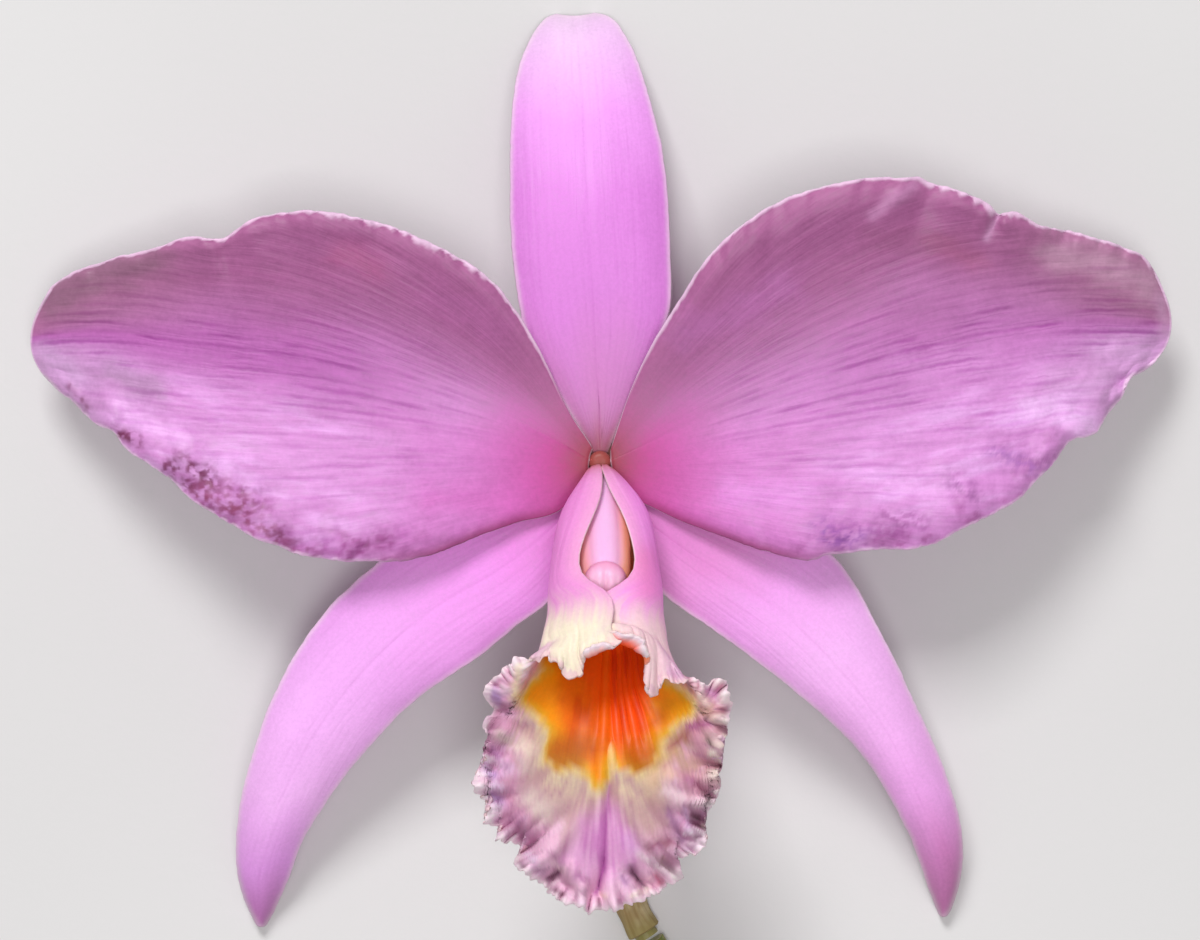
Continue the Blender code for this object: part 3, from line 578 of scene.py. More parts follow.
class Graph:
    """The nodes of one material, each added with its inputs."""

    def __init__(self, name):
        self.material = bpy.data.materials.new(name)
        self.material.use_nodes = True
        self.tree = self.material.node_tree
        self.shader = self.tree.nodes["Principled BSDF"]

    def put(self, socket, value):
        if isinstance(value, bpy.types.NodeSocket):
            self.tree.links.new(value, socket)
        elif socket.type == "RGBA":
            socket.default_value = (*[float(x) for x in value], 1.0)
        else:
            socket.default_value = value

    def add(self, kind, inputs, **settings):
        node = self.tree.nodes.new(kind)
        for key, value in settings.items():
            setattr(node, key, value)
        for key, value in inputs.items():
            self.put(node.inputs[key], value)
        return node

    def mark(self, name, output="Fac"):
        node = self.add("ShaderNodeAttribute", {}, attribute_name=name)
        return node.outputs[output]

    def place(self):
        return self.tree.nodes.new("ShaderNodeTexCoord").outputs["Object"]

    def math(self, how, a, b=0.0, c=0.0):
        return self.add("ShaderNodeMath", {0: a, 1: b, 2: c}, operation=how).outputs[0]

    def times(self, vector, by):
        return self.add(
            "ShaderNodeVectorMath", {0: vector, 1: by}, operation="MULTIPLY"
        ).outputs[0]

    def cloud(self, vector, scale, detail=2.0, rough=0.5, twist=0.0):
        return self.add(
            "ShaderNodeTexNoise",
            {
                "Vector": vector, "Scale": scale, "Detail": detail,
                "Roughness": rough, "Distortion": twist,
            },
        ).outputs[0]

    def span(self, value, low, high, first=0.0, last=1.0, smooth=True):
        return self.add(
            "ShaderNodeMapRange",
            {0: value, 1: low, 2: high, 3: first, 4: last},
            interpolation_type="SMOOTHSTEP" if smooth else "LINEAR",
        ).outputs[0]

    def blend(self, share, a, b, how="MIX"):
        node = self.tree.nodes.new("ShaderNodeMix")
        node.data_type = "RGBA"
        node.blend_type = how
        self.put(node.inputs[0], share)
        self.put(node.inputs[6], a)
        self.put(node.inputs[7], b)
        return node.outputs[2]

    def bright(self, colour, factor):
        return self.add(
            "ShaderNodeVectorMath", {0: colour, 3: factor}, operation="SCALE"
        ).outputs[0]

    def relief(self, height):
        """Bump from a height in millimetres."""
        return self.add(
            "ShaderNodeBump", {"Height": height, "Distance": MM, "Strength": 1.0}
        ).outputs[0]

    def finish(self, colour, rough, normal, **fixed):
        self.put(self.shader.inputs["Base Color"], colour)
        self.put(self.shader.inputs["Roughness"], rough)
        self.put(self.shader.inputs["Normal"], normal)
        for key, value in fixed.items():
            self.shader.inputs[key.replace("_", " ")].default_value = value
        return self.material


def tissue(
    name, veins=1.0, streaks=0.10, sparkle=0.08, mottle=0.08, rough=(0.40, 0.56),
    vein_tint=(0.62, 0.36, 0.60), glow=0.12, relief=1.0, broad=0.26,
    grains=2300.0,
):
    """Live petal tissue. The flow mark holds, for each point, its place across the
    veins (one unit to a vein), along them in mm, and its side. The veining mark
    says how strong the veins are there."""
    g = Graph(name)
    flow = g.mark("flow", "Vector")
    parts = g.add("ShaderNodeSeparateXYZ", {0: flow}).outputs
    place = g.place()
    # A thin dark line at each whole number, broken up along its length.
    wander = g.cloud(g.times(flow, (0.55, 0.10, 3.0)), 1.0, 2.0)
    across = g.math("MULTIPLY_ADD", wander, 0.9, parts[0])
    tremble = g.cloud(g.times(flow, (1.3, 0.60, 5.0)), 1.0, 2.0)
    across = g.math("MULTIPLY_ADD", tremble, 0.35, across)
    gauge = g.mark("gauge")
    from_line = g.math("MULTIPLY", g.math("PINGPONG", across, 0.5), gauge)
    line = g.span(from_line, 0.02, broad, 1.0, 0.0)
    between = g.math("PINGPONG", g.math("MULTIPLY", across, 2.0), 0.5)
    between = g.math("MULTIPLY", between, g.math("MULTIPLY", gauge, 0.5))
    fine = g.math(
        "MULTIPLY", g.span(between, 0.02, 0.18, 1.0, 0.0), g.span(gauge, 0.9, 1.7, 0.0, 0.8)
    )
    line = g.math("MAXIMUM", line, fine)
    cell = g.math("ROUND", across)
    dash_at = g.add(
        "ShaderNodeCombineXYZ",
        {0: g.math("MULTIPLY", cell, 3.71), 1: g.math("MULTIPLY", parts[1], 0.10), 2: parts[2]},
    ).outputs[0]
    dash = g.span(g.cloud(dash_at, 1.0, 2.0), 0.38, 0.66)
    vein = g.math(
        "MULTIPLY", g.math("MULTIPLY", line, dash), g.mark("veining")
    )
    streak = g.cloud(g.times(flow, (1.1, 0.10, 7.0)), 1.0, 2.0, 0.6)
    hair = g.cloud(g.times(flow, (4.2, 0.30, 7.0)), 1.0, 2.0, 0.55)
    patch = g.cloud(place, 260.0, 2.0, 0.55)
    grain = g.cloud(place, grains, 2.0, 0.65)
    room = g.span(gauge, 0.15, 0.9, 0.25, 1.0)
    light = g.math("ADD", g.math("MULTIPLY_ADD", streak, 2.0, -1.0),
                   g.math("MULTIPLY_ADD", hair, 1.4, -0.7))
    light = g.math("MULTIPLY_ADD", light, g.math("MULTIPLY", room, streaks), 1.0)
    light = g.math("ADD", light, g.math("MULTIPLY_ADD", patch, 2 * mottle, -mottle))
    light = g.math("ADD", light, g.math("MULTIPLY_ADD", grain, 2 * sparkle, -sparkle))
    colour = g.bright(g.mark("tint", "Color"), light)
    darker = g.blend(1.0, colour, vein_tint, "MULTIPLY")
    colour = g.blend(g.math("MULTIPLY", vein, 0.85 * veins), colour, darker)
    height = g.math("MULTIPLY_ADD", streak, 0.10 * relief, 0.0)
    height = g.math("MULTIPLY_ADD", hair, 0.035 * relief, height)
    height = g.math("MULTIPLY", height, g.span(gauge, 0.2, 1.1, 0.05, 1.0))
    height = g.math("MULTIPLY_ADD", grain, 0.018 * relief, height)
    height = g.math("MULTIPLY_ADD", vein, -0.03 * relief, height)
    gloss = g.span(g.math("MULTIPLY_ADD", grain, 0.5, g.math("MULTIPLY", patch, 0.5)),
                   0.25, 0.75, rough[0], rough[1])
    return g.finish(
        colour, gloss, g.relief(height),
        Subsurface_Weight=glow, Subsurface_Scale=0.0012,
        Subsurface_Radius=(1.0, 0.45, 0.8),
        Specular_IOR_Level=0.35,
    )


def threads(tint, q, run, side, gauge, veining):
    """The marks that the tissue material reads."""
    return {
        "tint": tint, "flow": np.stack([q, run, side + 0 * q], -1),
        "gauge": gauge + 0 * q, "veining": veining + 0 * q,
    }


def adopt(piece, node, material):
    piece.data.materials.append(material)
    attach(piece, "root")
    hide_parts(node)
    return piece


# ------------------------------------------------------- petals and sepals


def blade(first, middle, last, rows, cols, wobble, seed, fan):
    """View positions of a petal or sepal: rows from base to tip, columns from its
    first edge over the midvein to its last. The small teeth of an edge fade
    inwards, so that only the edge shows them."""
    t = np.linspace(0, 1, rows)
    t = 0.55 * t + 0.45 * (1 - (1 - t) ** 2)
    s = np.sin(np.linspace(-1, 1, cols) * math.pi / 2) * 0.35 + np.linspace(
        -1, 1, cols
    ) * 0.65
    a, m, b = along(first, t), along(middle, t), along(last, t)
    edges = []
    for edge, other, salt in ((a, b, 0), (b, a, 50)):
        calm = smoothed(edge, rows / 34)
        run = np.concatenate(
            [[0], np.cumsum(np.linalg.norm(np.diff(edge, axis=0), axis=1))]
        )
        out = edge - other
        out /= np.linalg.norm(out, axis=1, keepdims=True)
        rough = layered(run / 16, 0 * run, seed + salt, 3) * wobble
        rough += noise(run / 5, 0 * run, seed + salt + 7) * 0.5 * wobble
        rough *= ease(t, 0.1, 0.3) * ease(1 - t, 0, 0.04)
        edges.append((calm, edge - calm + out * rough[:, None], run * UNIT))
    (a, fine_a, run_a), (b, fine_b, run_b) = edges
    s3 = s[None, :, None]
    uv = m[:, None] + s3 * ((b - a) / 2)[:, None] + s3**2 * ((a + b) / 2 - m)[:, None]
    fade = np.abs(s3) ** 12
    uv = uv + np.where(s3 < 0, fine_a[:, None], fine_b[:, None]) * fade
    half = np.linalg.norm(b - a, axis=1) / 2
    widest = int(np.argmax(half))
    mid_run = (
        np.concatenate([[0], np.cumsum(np.linalg.norm(np.diff(m, axis=0), axis=1))])
        * UNIT
    )
    # Veins run side by side (fan 0) or straight out from the base (fan 1).
    spread = np.where(np.arange(rows) <= widest, 1.0, (half / half[widest]) ** 0.6)
    if fan:
        open_ = half * UNIT / (mid_run + 5.0)
        open_ /= open_.max()
        spread = np.where(np.arange(rows) <= int(np.argmax(open_)), 1.0, open_**fan)
    edge_line = np.concatenate([uv[:, 0], uv[-1], uv[::-1, -1]])
    rim = np.stack(
        [
            np.linalg.norm(row[:, None] - edge_line[None], axis=-1).min(1)
            for row in uv
        ]
    ) * UNIT
    return {
        "uv": uv, "t": t[:, None] + 0 * s[None], "s": s[None] + 0 * t[:, None],
        "w": s[None] * spread[:, None], "run": mid_run[:, None] + 0 * s[None],
        "gauge": (half * UNIT / spread)[:, None] + 0 * s[None],
        "narrow": (half / half[widest])[:, None] + 0 * s[None],
        "run_first": run_a[:, None] + 0 * s[None], "rim": rim,
        "run_last": run_b[:, None] + 0 * s[None],
        "from_junction": np.linalg.norm(uv - np.array([600.0, 463.0]), axis=-1),
    }


def vein_relief(q, run, seed):
    """Fine ribs along the veins, uneven in depth, from -1 to 1."""
    shift = q + 0.45 * noise(q * 0.55, run * 0.10, seed)
    wave = np.cos(2 * math.pi * shift)
    depth = 0.55 + 0.45 * noise(np.round(shift) * 3.7, run * 0.12, seed + 1)
    return wave * depth


def petal(
    name, node, first, middle, last, phase, ruffles, frilled, hemmed, drawn, shaded,
    band, blotch_and_shade, seed, material,
):
    p = blade(first, middle, last, 246, 145, 1.1, seed, 0.65)
    uv, t, s, rim, run = p["uv"], p["t"], p["s"], p["rim"], p["run"]
    q = 22.0 * p["w"] + 0.5
    gauge = p["gauge"] / 22.0
    f = 12.0 * s * np.where(t > 0.5, p["narrow"] ** 0.6, 1.0)
    lower = ease(s, 0.05, 0.55)
    mid = spline(*zip(*PETAL_HEIGHT), t[:, 0])[:, None]
    grown = ease(t, 0.03, 0.36) * (1 - 0.30 * ease(t, 0.7, 1.0))
    tapered = np.where(t > 0.5, p["narrow"] ** 0.3, 1.0)
    rise = np.where(s < 0, 5.3, 3.9) * (np.abs(s) * tapered) ** 1.9
    roll = 1.5 * np.clip((np.abs(s) - 0.86) / 0.14, 0, 1) ** 2 * tapered
    wave = (
        0.40
        * ease(np.abs(s), 0.45, 1.0)
        * ease(t, 0.25, 0.6)
        * np.sin(2 * math.pi * 4.5 * t + 2.1 * np.sign(s) + phase)
        * tapered**2
    )
    z = mid + grown * (rise - roll) + wave
    # Ruffles of the margin, leaning towards the base as they run inwards.
    edge_run = np.where(s < 0, p["run_first"], p["run_last"]) + 0.7 * rim
    half_of = rim * 0 + 3.0 * (s > 0)
    strong = np.where(s < 0, ruffles[0], ruffles[1]) * ease(t, 0.12, 0.42)
    strong = strong * ease(np.abs(s), 0.02, 0.35)
    z += strong * 0.60 * noise(edge_run / 3.4, half_of, seed) * np.exp(
        -((rim / 5.0) ** 1.5)
    )
    z += strong * 0.26 * noise(edge_run / 1.25, half_of, seed + 5) * (
        np.exp(-((rim / 1.8) ** 2))
    )
    beaded = ease(t, *frilled[:2]) * (1 - ease(t, *frilled[2:])) * ease(-s, 0.1, 0.4)
    z += 0.30 * beaded * noise(edge_run / 0.62, half_of, seed + 6) * (
        np.exp(-((rim / 0.9) ** 2))
    )
    # Puckers of the lower margin and finer crinkles over the lower half.
    pucker = layered(f * 0.42, run / 3.2, seed + 9, 2)
    z += 0.52 * (0.35 + 0.65 * ease(s, -0.3, 0.3)) * pucker * ease(t, 0.2, 0.5) * (
        np.exp(-((rim / 6.5) ** 2)) * (1 - np.exp(-((rim / 1.0) ** 2)) * 0.5)
    )
    z += 0.24 * layered(f * 0.95, run / 1.9, seed + 10, 2) * ease(t, 0.2, 0.5) * (
        lower * np.exp(-((rim / 6.0) ** 2))
    )
    z += 0.15 * layered(f * 0.75 + 0.12 * run, run / 3.6, seed + 12, 2) * ease(t, 0.12, 0.35) * lower
    # Broad soft undulations, then ribs over the veins.
    z += 0.35 * noise(f * 0.16, run / 11, seed + 13) * ease(t, 0.1, 0.4) * (
        1 - ease(np.abs(s), 0.75, 1.0)
    )
    ribs = vein_relief(q, run, seed + 17)
    middle_band = np.exp(-((s / 0.55) ** 2))
    z += 0.050 * ribs * ease(gauge, 0.6, 1.1) * ease(rim, 0.5, 3.0) * (
        0.35 + 0.65 * middle_band
    )
    z -= 0.05 * np.exp(-((s / 0.05) ** 2)) * (1 - ease(t, 0.1, 0.6))
    z += folds(uv, drawn)
    scallop = noise(edge_run / 0.85, half_of, seed + 41) + 0.5 * noise(edge_run / 0.4, half_of, seed + 42)
    hem = (0.24 + 0.10 * scallop) * ease(t, 0.05, 0.2) + 0.40 * ease(scallop, -0.9, 0.9) * (
        ease(t, hemmed[0], hemmed[1]) * (1 - ease(t, hemmed[2], hemmed[3]))
    )
    hem = np.where(s < 0, hem, 0.24 + 0.10 * scallop)
    hem = np.maximum(0.22 + (hem - 0.22) * ease(np.abs(s), 0.0, 0.2), 0.12)
    hemline = np.exp(-((rim / hem) ** 3)) * ease(t, 0.05, 0.2)
    hemline = hemline * np.where(s < 0, 1.0, ease(t, 0.28, 0.45))
    z += 0.26 * hemline * (s < 0) * ease(-s, 0.2, 0.6)
    grid = from_view(uv[..., 0], uv[..., 1], z)
    thick = PETAL_THICK * (0.36 + 0.64 * (1 - np.exp(-rim / 2.2)))
    thick = thick * (1 + 0.5 * (1 - ease(t, 0.0, 0.15)))

    slow = layered(f * 0.22, run / 14, seed + 21, 2)
    patchy = 0.75 * layered(f * 0.7, run / 7.5, seed + 27, 2)
    patchy += 0.60 * layered(f * 3.1, run / 4.2, seed + 28, 3)
    # Darker, redder upper half and upper tip, lighter lower half: partly the petal's own colour, partly
    # painted shade on the upper half, which faces away from the light.
    tint = mix(tone(166, 94, 145), tone(216, 144, 212), ease(s + 0.14 * slow, -0.62, 0.42))
    tint = mix(tint, tone(178, 82, 170), band * np.exp(-(((s - 0.02) / 0.26) ** 2)) * ease(t, 0.2, 0.5))
    tint = mix(tint, tone(164, 108, 142), 0.75 * ease(t, 0.66, 0.95) * ease(-s, -0.10, 0.22))
    tint = mix(tint, tone(200, 150, 198), 0.75 * ease(t, 0.72, 0.98) * ease(s, 0.0, 0.26))
    # Pale streaky patches over the lower half: painted sheen highlight.
    tint = mix(tint, tone(236, 178, 240), 0.8 * ease(patchy, -0.25, 0.75) * ease(s, 0.10, 0.5)
               * ease(t, 0.26, 0.48) * (1 - 0.75 * ease(t, 0.74, 0.92)))
    tint = mix(tint, tone(204, 112, 190), 0.55 * ease(s, 0.0, 0.4) * (1 - ease(t, 0.26, 0.46)))
    tint = mix(tint, tone(196, 66, 158), 0.9 * (1 - ease(t, 0.05, 0.27)) * ease(s, -0.7, 0.2))
    tint = mix(tint, tone(176, 104, 152), 0.5 * np.exp(-((rim / 3.0) ** 2)) * (s < 0))
    # Dark blotches within about 5 mm of the lower margin: partly own mottling, partly painted shade of the
    # puckers and of the margin rolling back.
    mottled = ease(layered(uv[..., 0] / 15, uv[..., 1] / 11, seed + 33, 2), -0.15, 0.5)
    grainy = ease(layered(uv[..., 0] / 4.6, uv[..., 1] / 4.0, seed + 34, 2), -0.4, 0.5)
    tint = mix(
        tint, tone(150, 66, 132),
        blotch_and_shade * (0.20 + 0.42 * mottled * grainy + 0.34 * mottled)
        * np.exp(-((rim / 5.2) ** 2)) * ease(s, 0.1, 0.5) * ease(t, 0.2, 0.4)
        * (1 - 0.9 * ease(t, 0.70, 0.84)),
    )
    loose = np.stack(
        [layered(uv[..., 0] / 22, uv[..., 1] / 12, seed + 51, 3),
         layered(uv[..., 0] / 22, uv[..., 1] / 12, seed + 52, 3)], -1,
    )
    # Painted shade, painted highlights and own-colour patches laid over the petal.
    for line, width, depth, colour, grained in shaded:
        share = stroke(uv + 0.6 * width * loose, line, width)[0] * depth
        tint = mix(tint, colour, share * (1 - grained + grained * 1.7 * grainy))
    # Dark line along the lower margin near the base: painted shadow where the petal lies over the lateral
    # sepal.
    under = np.exp(-((rim / 0.9) ** 2)) * ease(s, 0.2, 0.6) * (1 - ease(t, 0.26, 0.44))
    tint = mix(tint, tone(140, 52, 96), 0.75 * under * ease(t, 0.03, 0.1))
    # Pale band along the curled margins: painted highlight where the curl catches the light.
    tint = mix(tint, tone(244, 208, 238), 0.85 * hemline)
    heart = p["from_junction"]
    tint = mix(tint, tone(190, 58, 132), 0.6 * np.exp(-((heart / 60) ** 2)))
    tint = mix(tint, tone(146, 58, 52), 0.95 * np.exp(-((heart / 37) ** 2)))
    back = mix(tint, tone(206, 146, 196), 0.45)
    back = mix(back, tone(176, 150, 130), 0.5 * np.exp(-((heart / 60) ** 2)))
    veining = (0.30 + 0.70 * middle_band) * ease(gauge, 0.40, 0.95) * ease(rim, 0.3, 2.5)
    veining = veining * (1 - 0.75 * ease(-s, 0.14, 0.42) * (1 - ease(t, 0.66, 0.86)))
    grid, thick, tint, back, q, run, gauge, veining = facing(
        grid, thick, tint, back, q, run, gauge, veining
    )
    piece = shell(
        name, grid, thick,
        threads(tint, q, run, 0.0, gauge, veining),
        threads(back, q, run, 1.3, gauge, 0.6 * veining),
        {"tint": tone(238, 216, 234), "veining": 0.0},
    )
    return adopt(piece, node, material)


def stand_on_table(grid):
    """Lets a sepal's tip down until its lowest point just meets the table."""
    reach = np.linspace(0, 1, grid.shape[0])[:, None] ** 2.5
    for _ in range(8):
        low = (grid - np.abs(normals(grid)) * SEPAL_THICK / 2)[..., 2].min()
        grid[..., 2] += (-JUNCTION_HEIGHT - low) * reach
    return grid


def sepal(name, node, first, middle, last, colours, drawn, seed, material):
    p = blade(first, middle, last, 190, 95, 0.6, seed, 0)
    uv, t, s, rim, run = p["uv"], p["t"], p["s"], p["rim"], p["run"]
    q = 9.0 * p["w"] + 0.5
    gauge = p["gauge"] / 9.0
    mid = spline(*zip(*SEPAL_HEIGHT), t[:, 0])[:, None]
    z = mid - (1.5 * ease(t, 0.2, 0.7) + 0.25) * np.abs(s) ** 2.2
    z += 0.16 * noise(q * 0.2, p["run"] / 9, seed + 3) * ease(t, 0.1, 0.3)
    z += 0.014 * vein_relief(q, run, seed + 7) * ease(rim, 0.4, 2.0)
    z += 0.05 * layered(q * 0.6, run / 3.5, seed + 8, 2) * np.exp(-((rim / 3.0) ** 2)) * (
        ease(t, 0.1, 0.3)
    )
    z -= 0.08 * np.exp(-((p["w"] / 0.06) ** 2)) * (1 - ease(t, 0.3, 0.9))
    z += folds(uv, drawn)
    grid = stand_on_table(from_view(uv[..., 0], uv[..., 1], z))
    thick = SEPAL_THICK * (0.42 + 0.58 * (1 - np.exp(-rim / 1.8)))
    soft = layered(q * 0.25, run / 16, seed + 11, 2)
    # Colour from base to tip: the sepal's own colour, with the light and shade of its recurved tip painted
    # in, lighter at the dorsal sepal's tip and darker at the lateral sepals' tips.
    tint = ramp(t + 0.04 * soft, colours)
    tint = mix(tint, tint * 0.90, np.exp(-((rim / 2.6) ** 2)))
    heart = p["from_junction"]
    # Thin pale line along the rolled margin: painted highlight.
    tint = mix(tint, tone(238, 214, 230), 0.55 * np.exp(-((rim / 0.40) ** 2)))
    tint = mix(tint, tone(152, 72, 84), 0.92 * np.exp(-((heart / 33) ** 2)))
    back = mix(tint, tone(206, 160, 196), 0.5)
    back = mix(back, tone(168, 160, 116), 0.55 * np.exp(-((heart / 70) ** 2)))
    back = mix(back, tone(176, 168, 128), 0.4 * np.exp(-((p["w"] / 0.16) ** 2)))
    veining = 0.16 * ease(t, 0.04, 0.2) * ease(rim, 0.3, 2.0) + 0.10 * np.exp(
        -((p["w"] / 0.06) ** 2)
    )
    grid, thick, tint, back, q, run, gauge, veining = facing(
        grid, thick, tint, back, q, run, gauge, veining
    )
    piece = shell(
        name, grid, thick,
        threads(tint, q, run, 0.0, gauge, veining),
        threads(back, q, run, 1.3, gauge, 2.5 * veining),
        {"tint": tone(236, 218, 230), "veining": 0.0},
    )
    return adopt(piece, node, material)


# ----------------------------------------------------------------------- lip


def ring(dorsal, floor, half, middle, angles, inset=0.0):
    """Points round one ring of the lip tube at angles from its floor."""
    d = np.asarray(dorsal, float)
    f = np.asarray(floor, float)
    centre = (d + f) / 2
    arm = (f - d) / 2
    shrink = 1 - inset / np.linalg.norm(arm)
    x = middle + half * np.sin(angles) * (1 - 0.4 * (1 - shrink))
    yz = centre + (arm[None] * np.cos(angles)[:, None]) * shrink[:, None]
    return np.stack([x, yz[:, 0], yz[:, 1]], axis=-1)


def lip_angles(cols):
    """Angles from the left margin over the floor to the right one, closer together
    where the margin is long."""
    table = np.asarray(MARGIN_LINE, float)
    fine = np.linspace(-180, 180, 2000)
    line = spline(table[:, 0], table[:, 1:3], fine) * UNIT
    length = np.concatenate([[0], np.cumsum(np.linalg.norm(np.diff(line, axis=0), axis=1))])
    weight = 0.84 * length / length[-1] + 0.16 * (fine + 180) / 360
    return np.interp(np.linspace(0, 1, cols), weight, fine)


def lip_grid(inner, outer, cols):
    """Points of the lip: rows from claw to mouth and from mouth to margin."""
    phi = lip_angles(cols)
    u = phi / 180
    lines = []
    for index, (dorsal, floor, half, middle, gap_l, gap_r) in enumerate(TUBE_RINGS):
        most = np.where(u < 0, 180 - gap_l, 180 - gap_r)
        theta = np.radians(u * most)
        under = ease(np.degrees(theta), 140, 176) * (0.0 if index < 5 else 1.15)
        over = ease(-np.degrees(theta), 150, 180) * (0.0 if index < 5 else -0.15)
        if index == 5:
            under *= 0.55
        lines.append(ring(dorsal, floor, half, middle, theta, under + over))
    for line in (MOUTH_LINE, CREST_LINE, LIMB_LINE):
        table = np.asarray(line, float)
        lines.append(spline(table[:, 0], table[:, 1:], phi))
    table = np.asarray(MARGIN_LINE, float)
    margin = spline(table[:, 0], table[:, 1:], phi)
    lines.append(from_view(margin[:, 0], margin[:, 1], margin[:, 2]))
    control = np.stack(lines)
    share = np.linspace(0, 1, outer)
    share = 0.30 * share + 0.70 * (1 - (1 - share) ** 2)
    grid = np.empty((inner + outer, cols, 3))
    passed = np.empty((inner + outer, cols))
    for j in range(cols):
        fine, run, behind = course(control[:, j])
        mouth = np.interp(7.0, behind, run)
        at = np.concatenate(
            [np.linspace(0, mouth, inner, endpoint=False), mouth + (1 - mouth) * share]
        )
        grid[:, j] = np.stack([np.interp(at, run, fine[:, i]) for i in range(3)], -1)
        passed[:, j] = np.interp(at, run, behind)
    return grid, passed, phi, margin


# Folds of the limb drawn in the view: (line, width, height at start, at end).
LIP_FOLDS = [
    # crests over the two golden pockets
    ([(560, 662), (549, 670), (536, 682), (520, 692)], 5.0, 0.35, 0.25),
    ([(657, 686), (671, 682), (686, 690), (697, 703)], 5.0, 0.35, 0.25),
    # golden pockets
    ([(560, 690), (545, 702)], 15.0, -0.7, -0.5),
    ([(660, 702), (676, 712)], 14.0, -0.6, -0.5),
    # sides of the lower lobe
    ([(588, 800), (566, 836), (545, 858), (522, 862)], 7.5, 0.25, 1.5),
    ([(566, 816), (542, 836), (520, 850)], 8.5, -0.3, -1.7),
    ([(625, 800), (646, 838), (668, 862), (681, 872)], 7.5, 0.3, 1.5),
    ([(650, 812), (672, 836), (692, 850)], 8.5, -0.3, -1.6),
    # middle groove and the swell beside it
    ([(609, 782), (606, 820), (605, 850), (598, 896)], 4.5, -0.5, -0.8),
    ([(622, 800), (630, 850), (632, 880)], 11.0, 0.4, 0.7),
    ([(588, 815), (578, 850), (576, 880)], 12.0, 0.4, 0.7),
    # small pockets under the frill
    ([(554, 870), (564, 886)], 6.5, -1.5, -1.0),
    ([(634, 872), (650, 884)], 6.5, -1.3, -1.0),
    ([(572, 868), (584, 888)], 6.0, 0.7, 0.7),
    ([(611, 880), (613, 905)], 7.0, 0.5, 0.8),
    # pleats of the side lobes
    ([(520, 745), (492, 752)], 6.0, -0.3, -0.7),
    ([(524, 772), (482, 780)], 8.0, 0.2, 0.7),
    ([(528, 796), (488, 800)], 6.0, -0.25, -0.8),
    ([(530, 815), (490, 826)], 6.0, 0.15, 0.6),
    ([(524, 722), (494, 712)], 6.0, -0.25, -0.9),
    ([(686, 745), (708, 748)], 6.0, -0.3, -0.6),
    ([(684, 775), (704, 771)], 6.0, -0.4, -0.8),
    ([(684, 790), (712, 788)], 7.0, 0.2, 0.7),
    ([(680, 815), (702, 820)], 6.0, -0.3, -0.8),
    ([(684, 735), (714, 726)], 7.0, 0.2, 0.6),
]
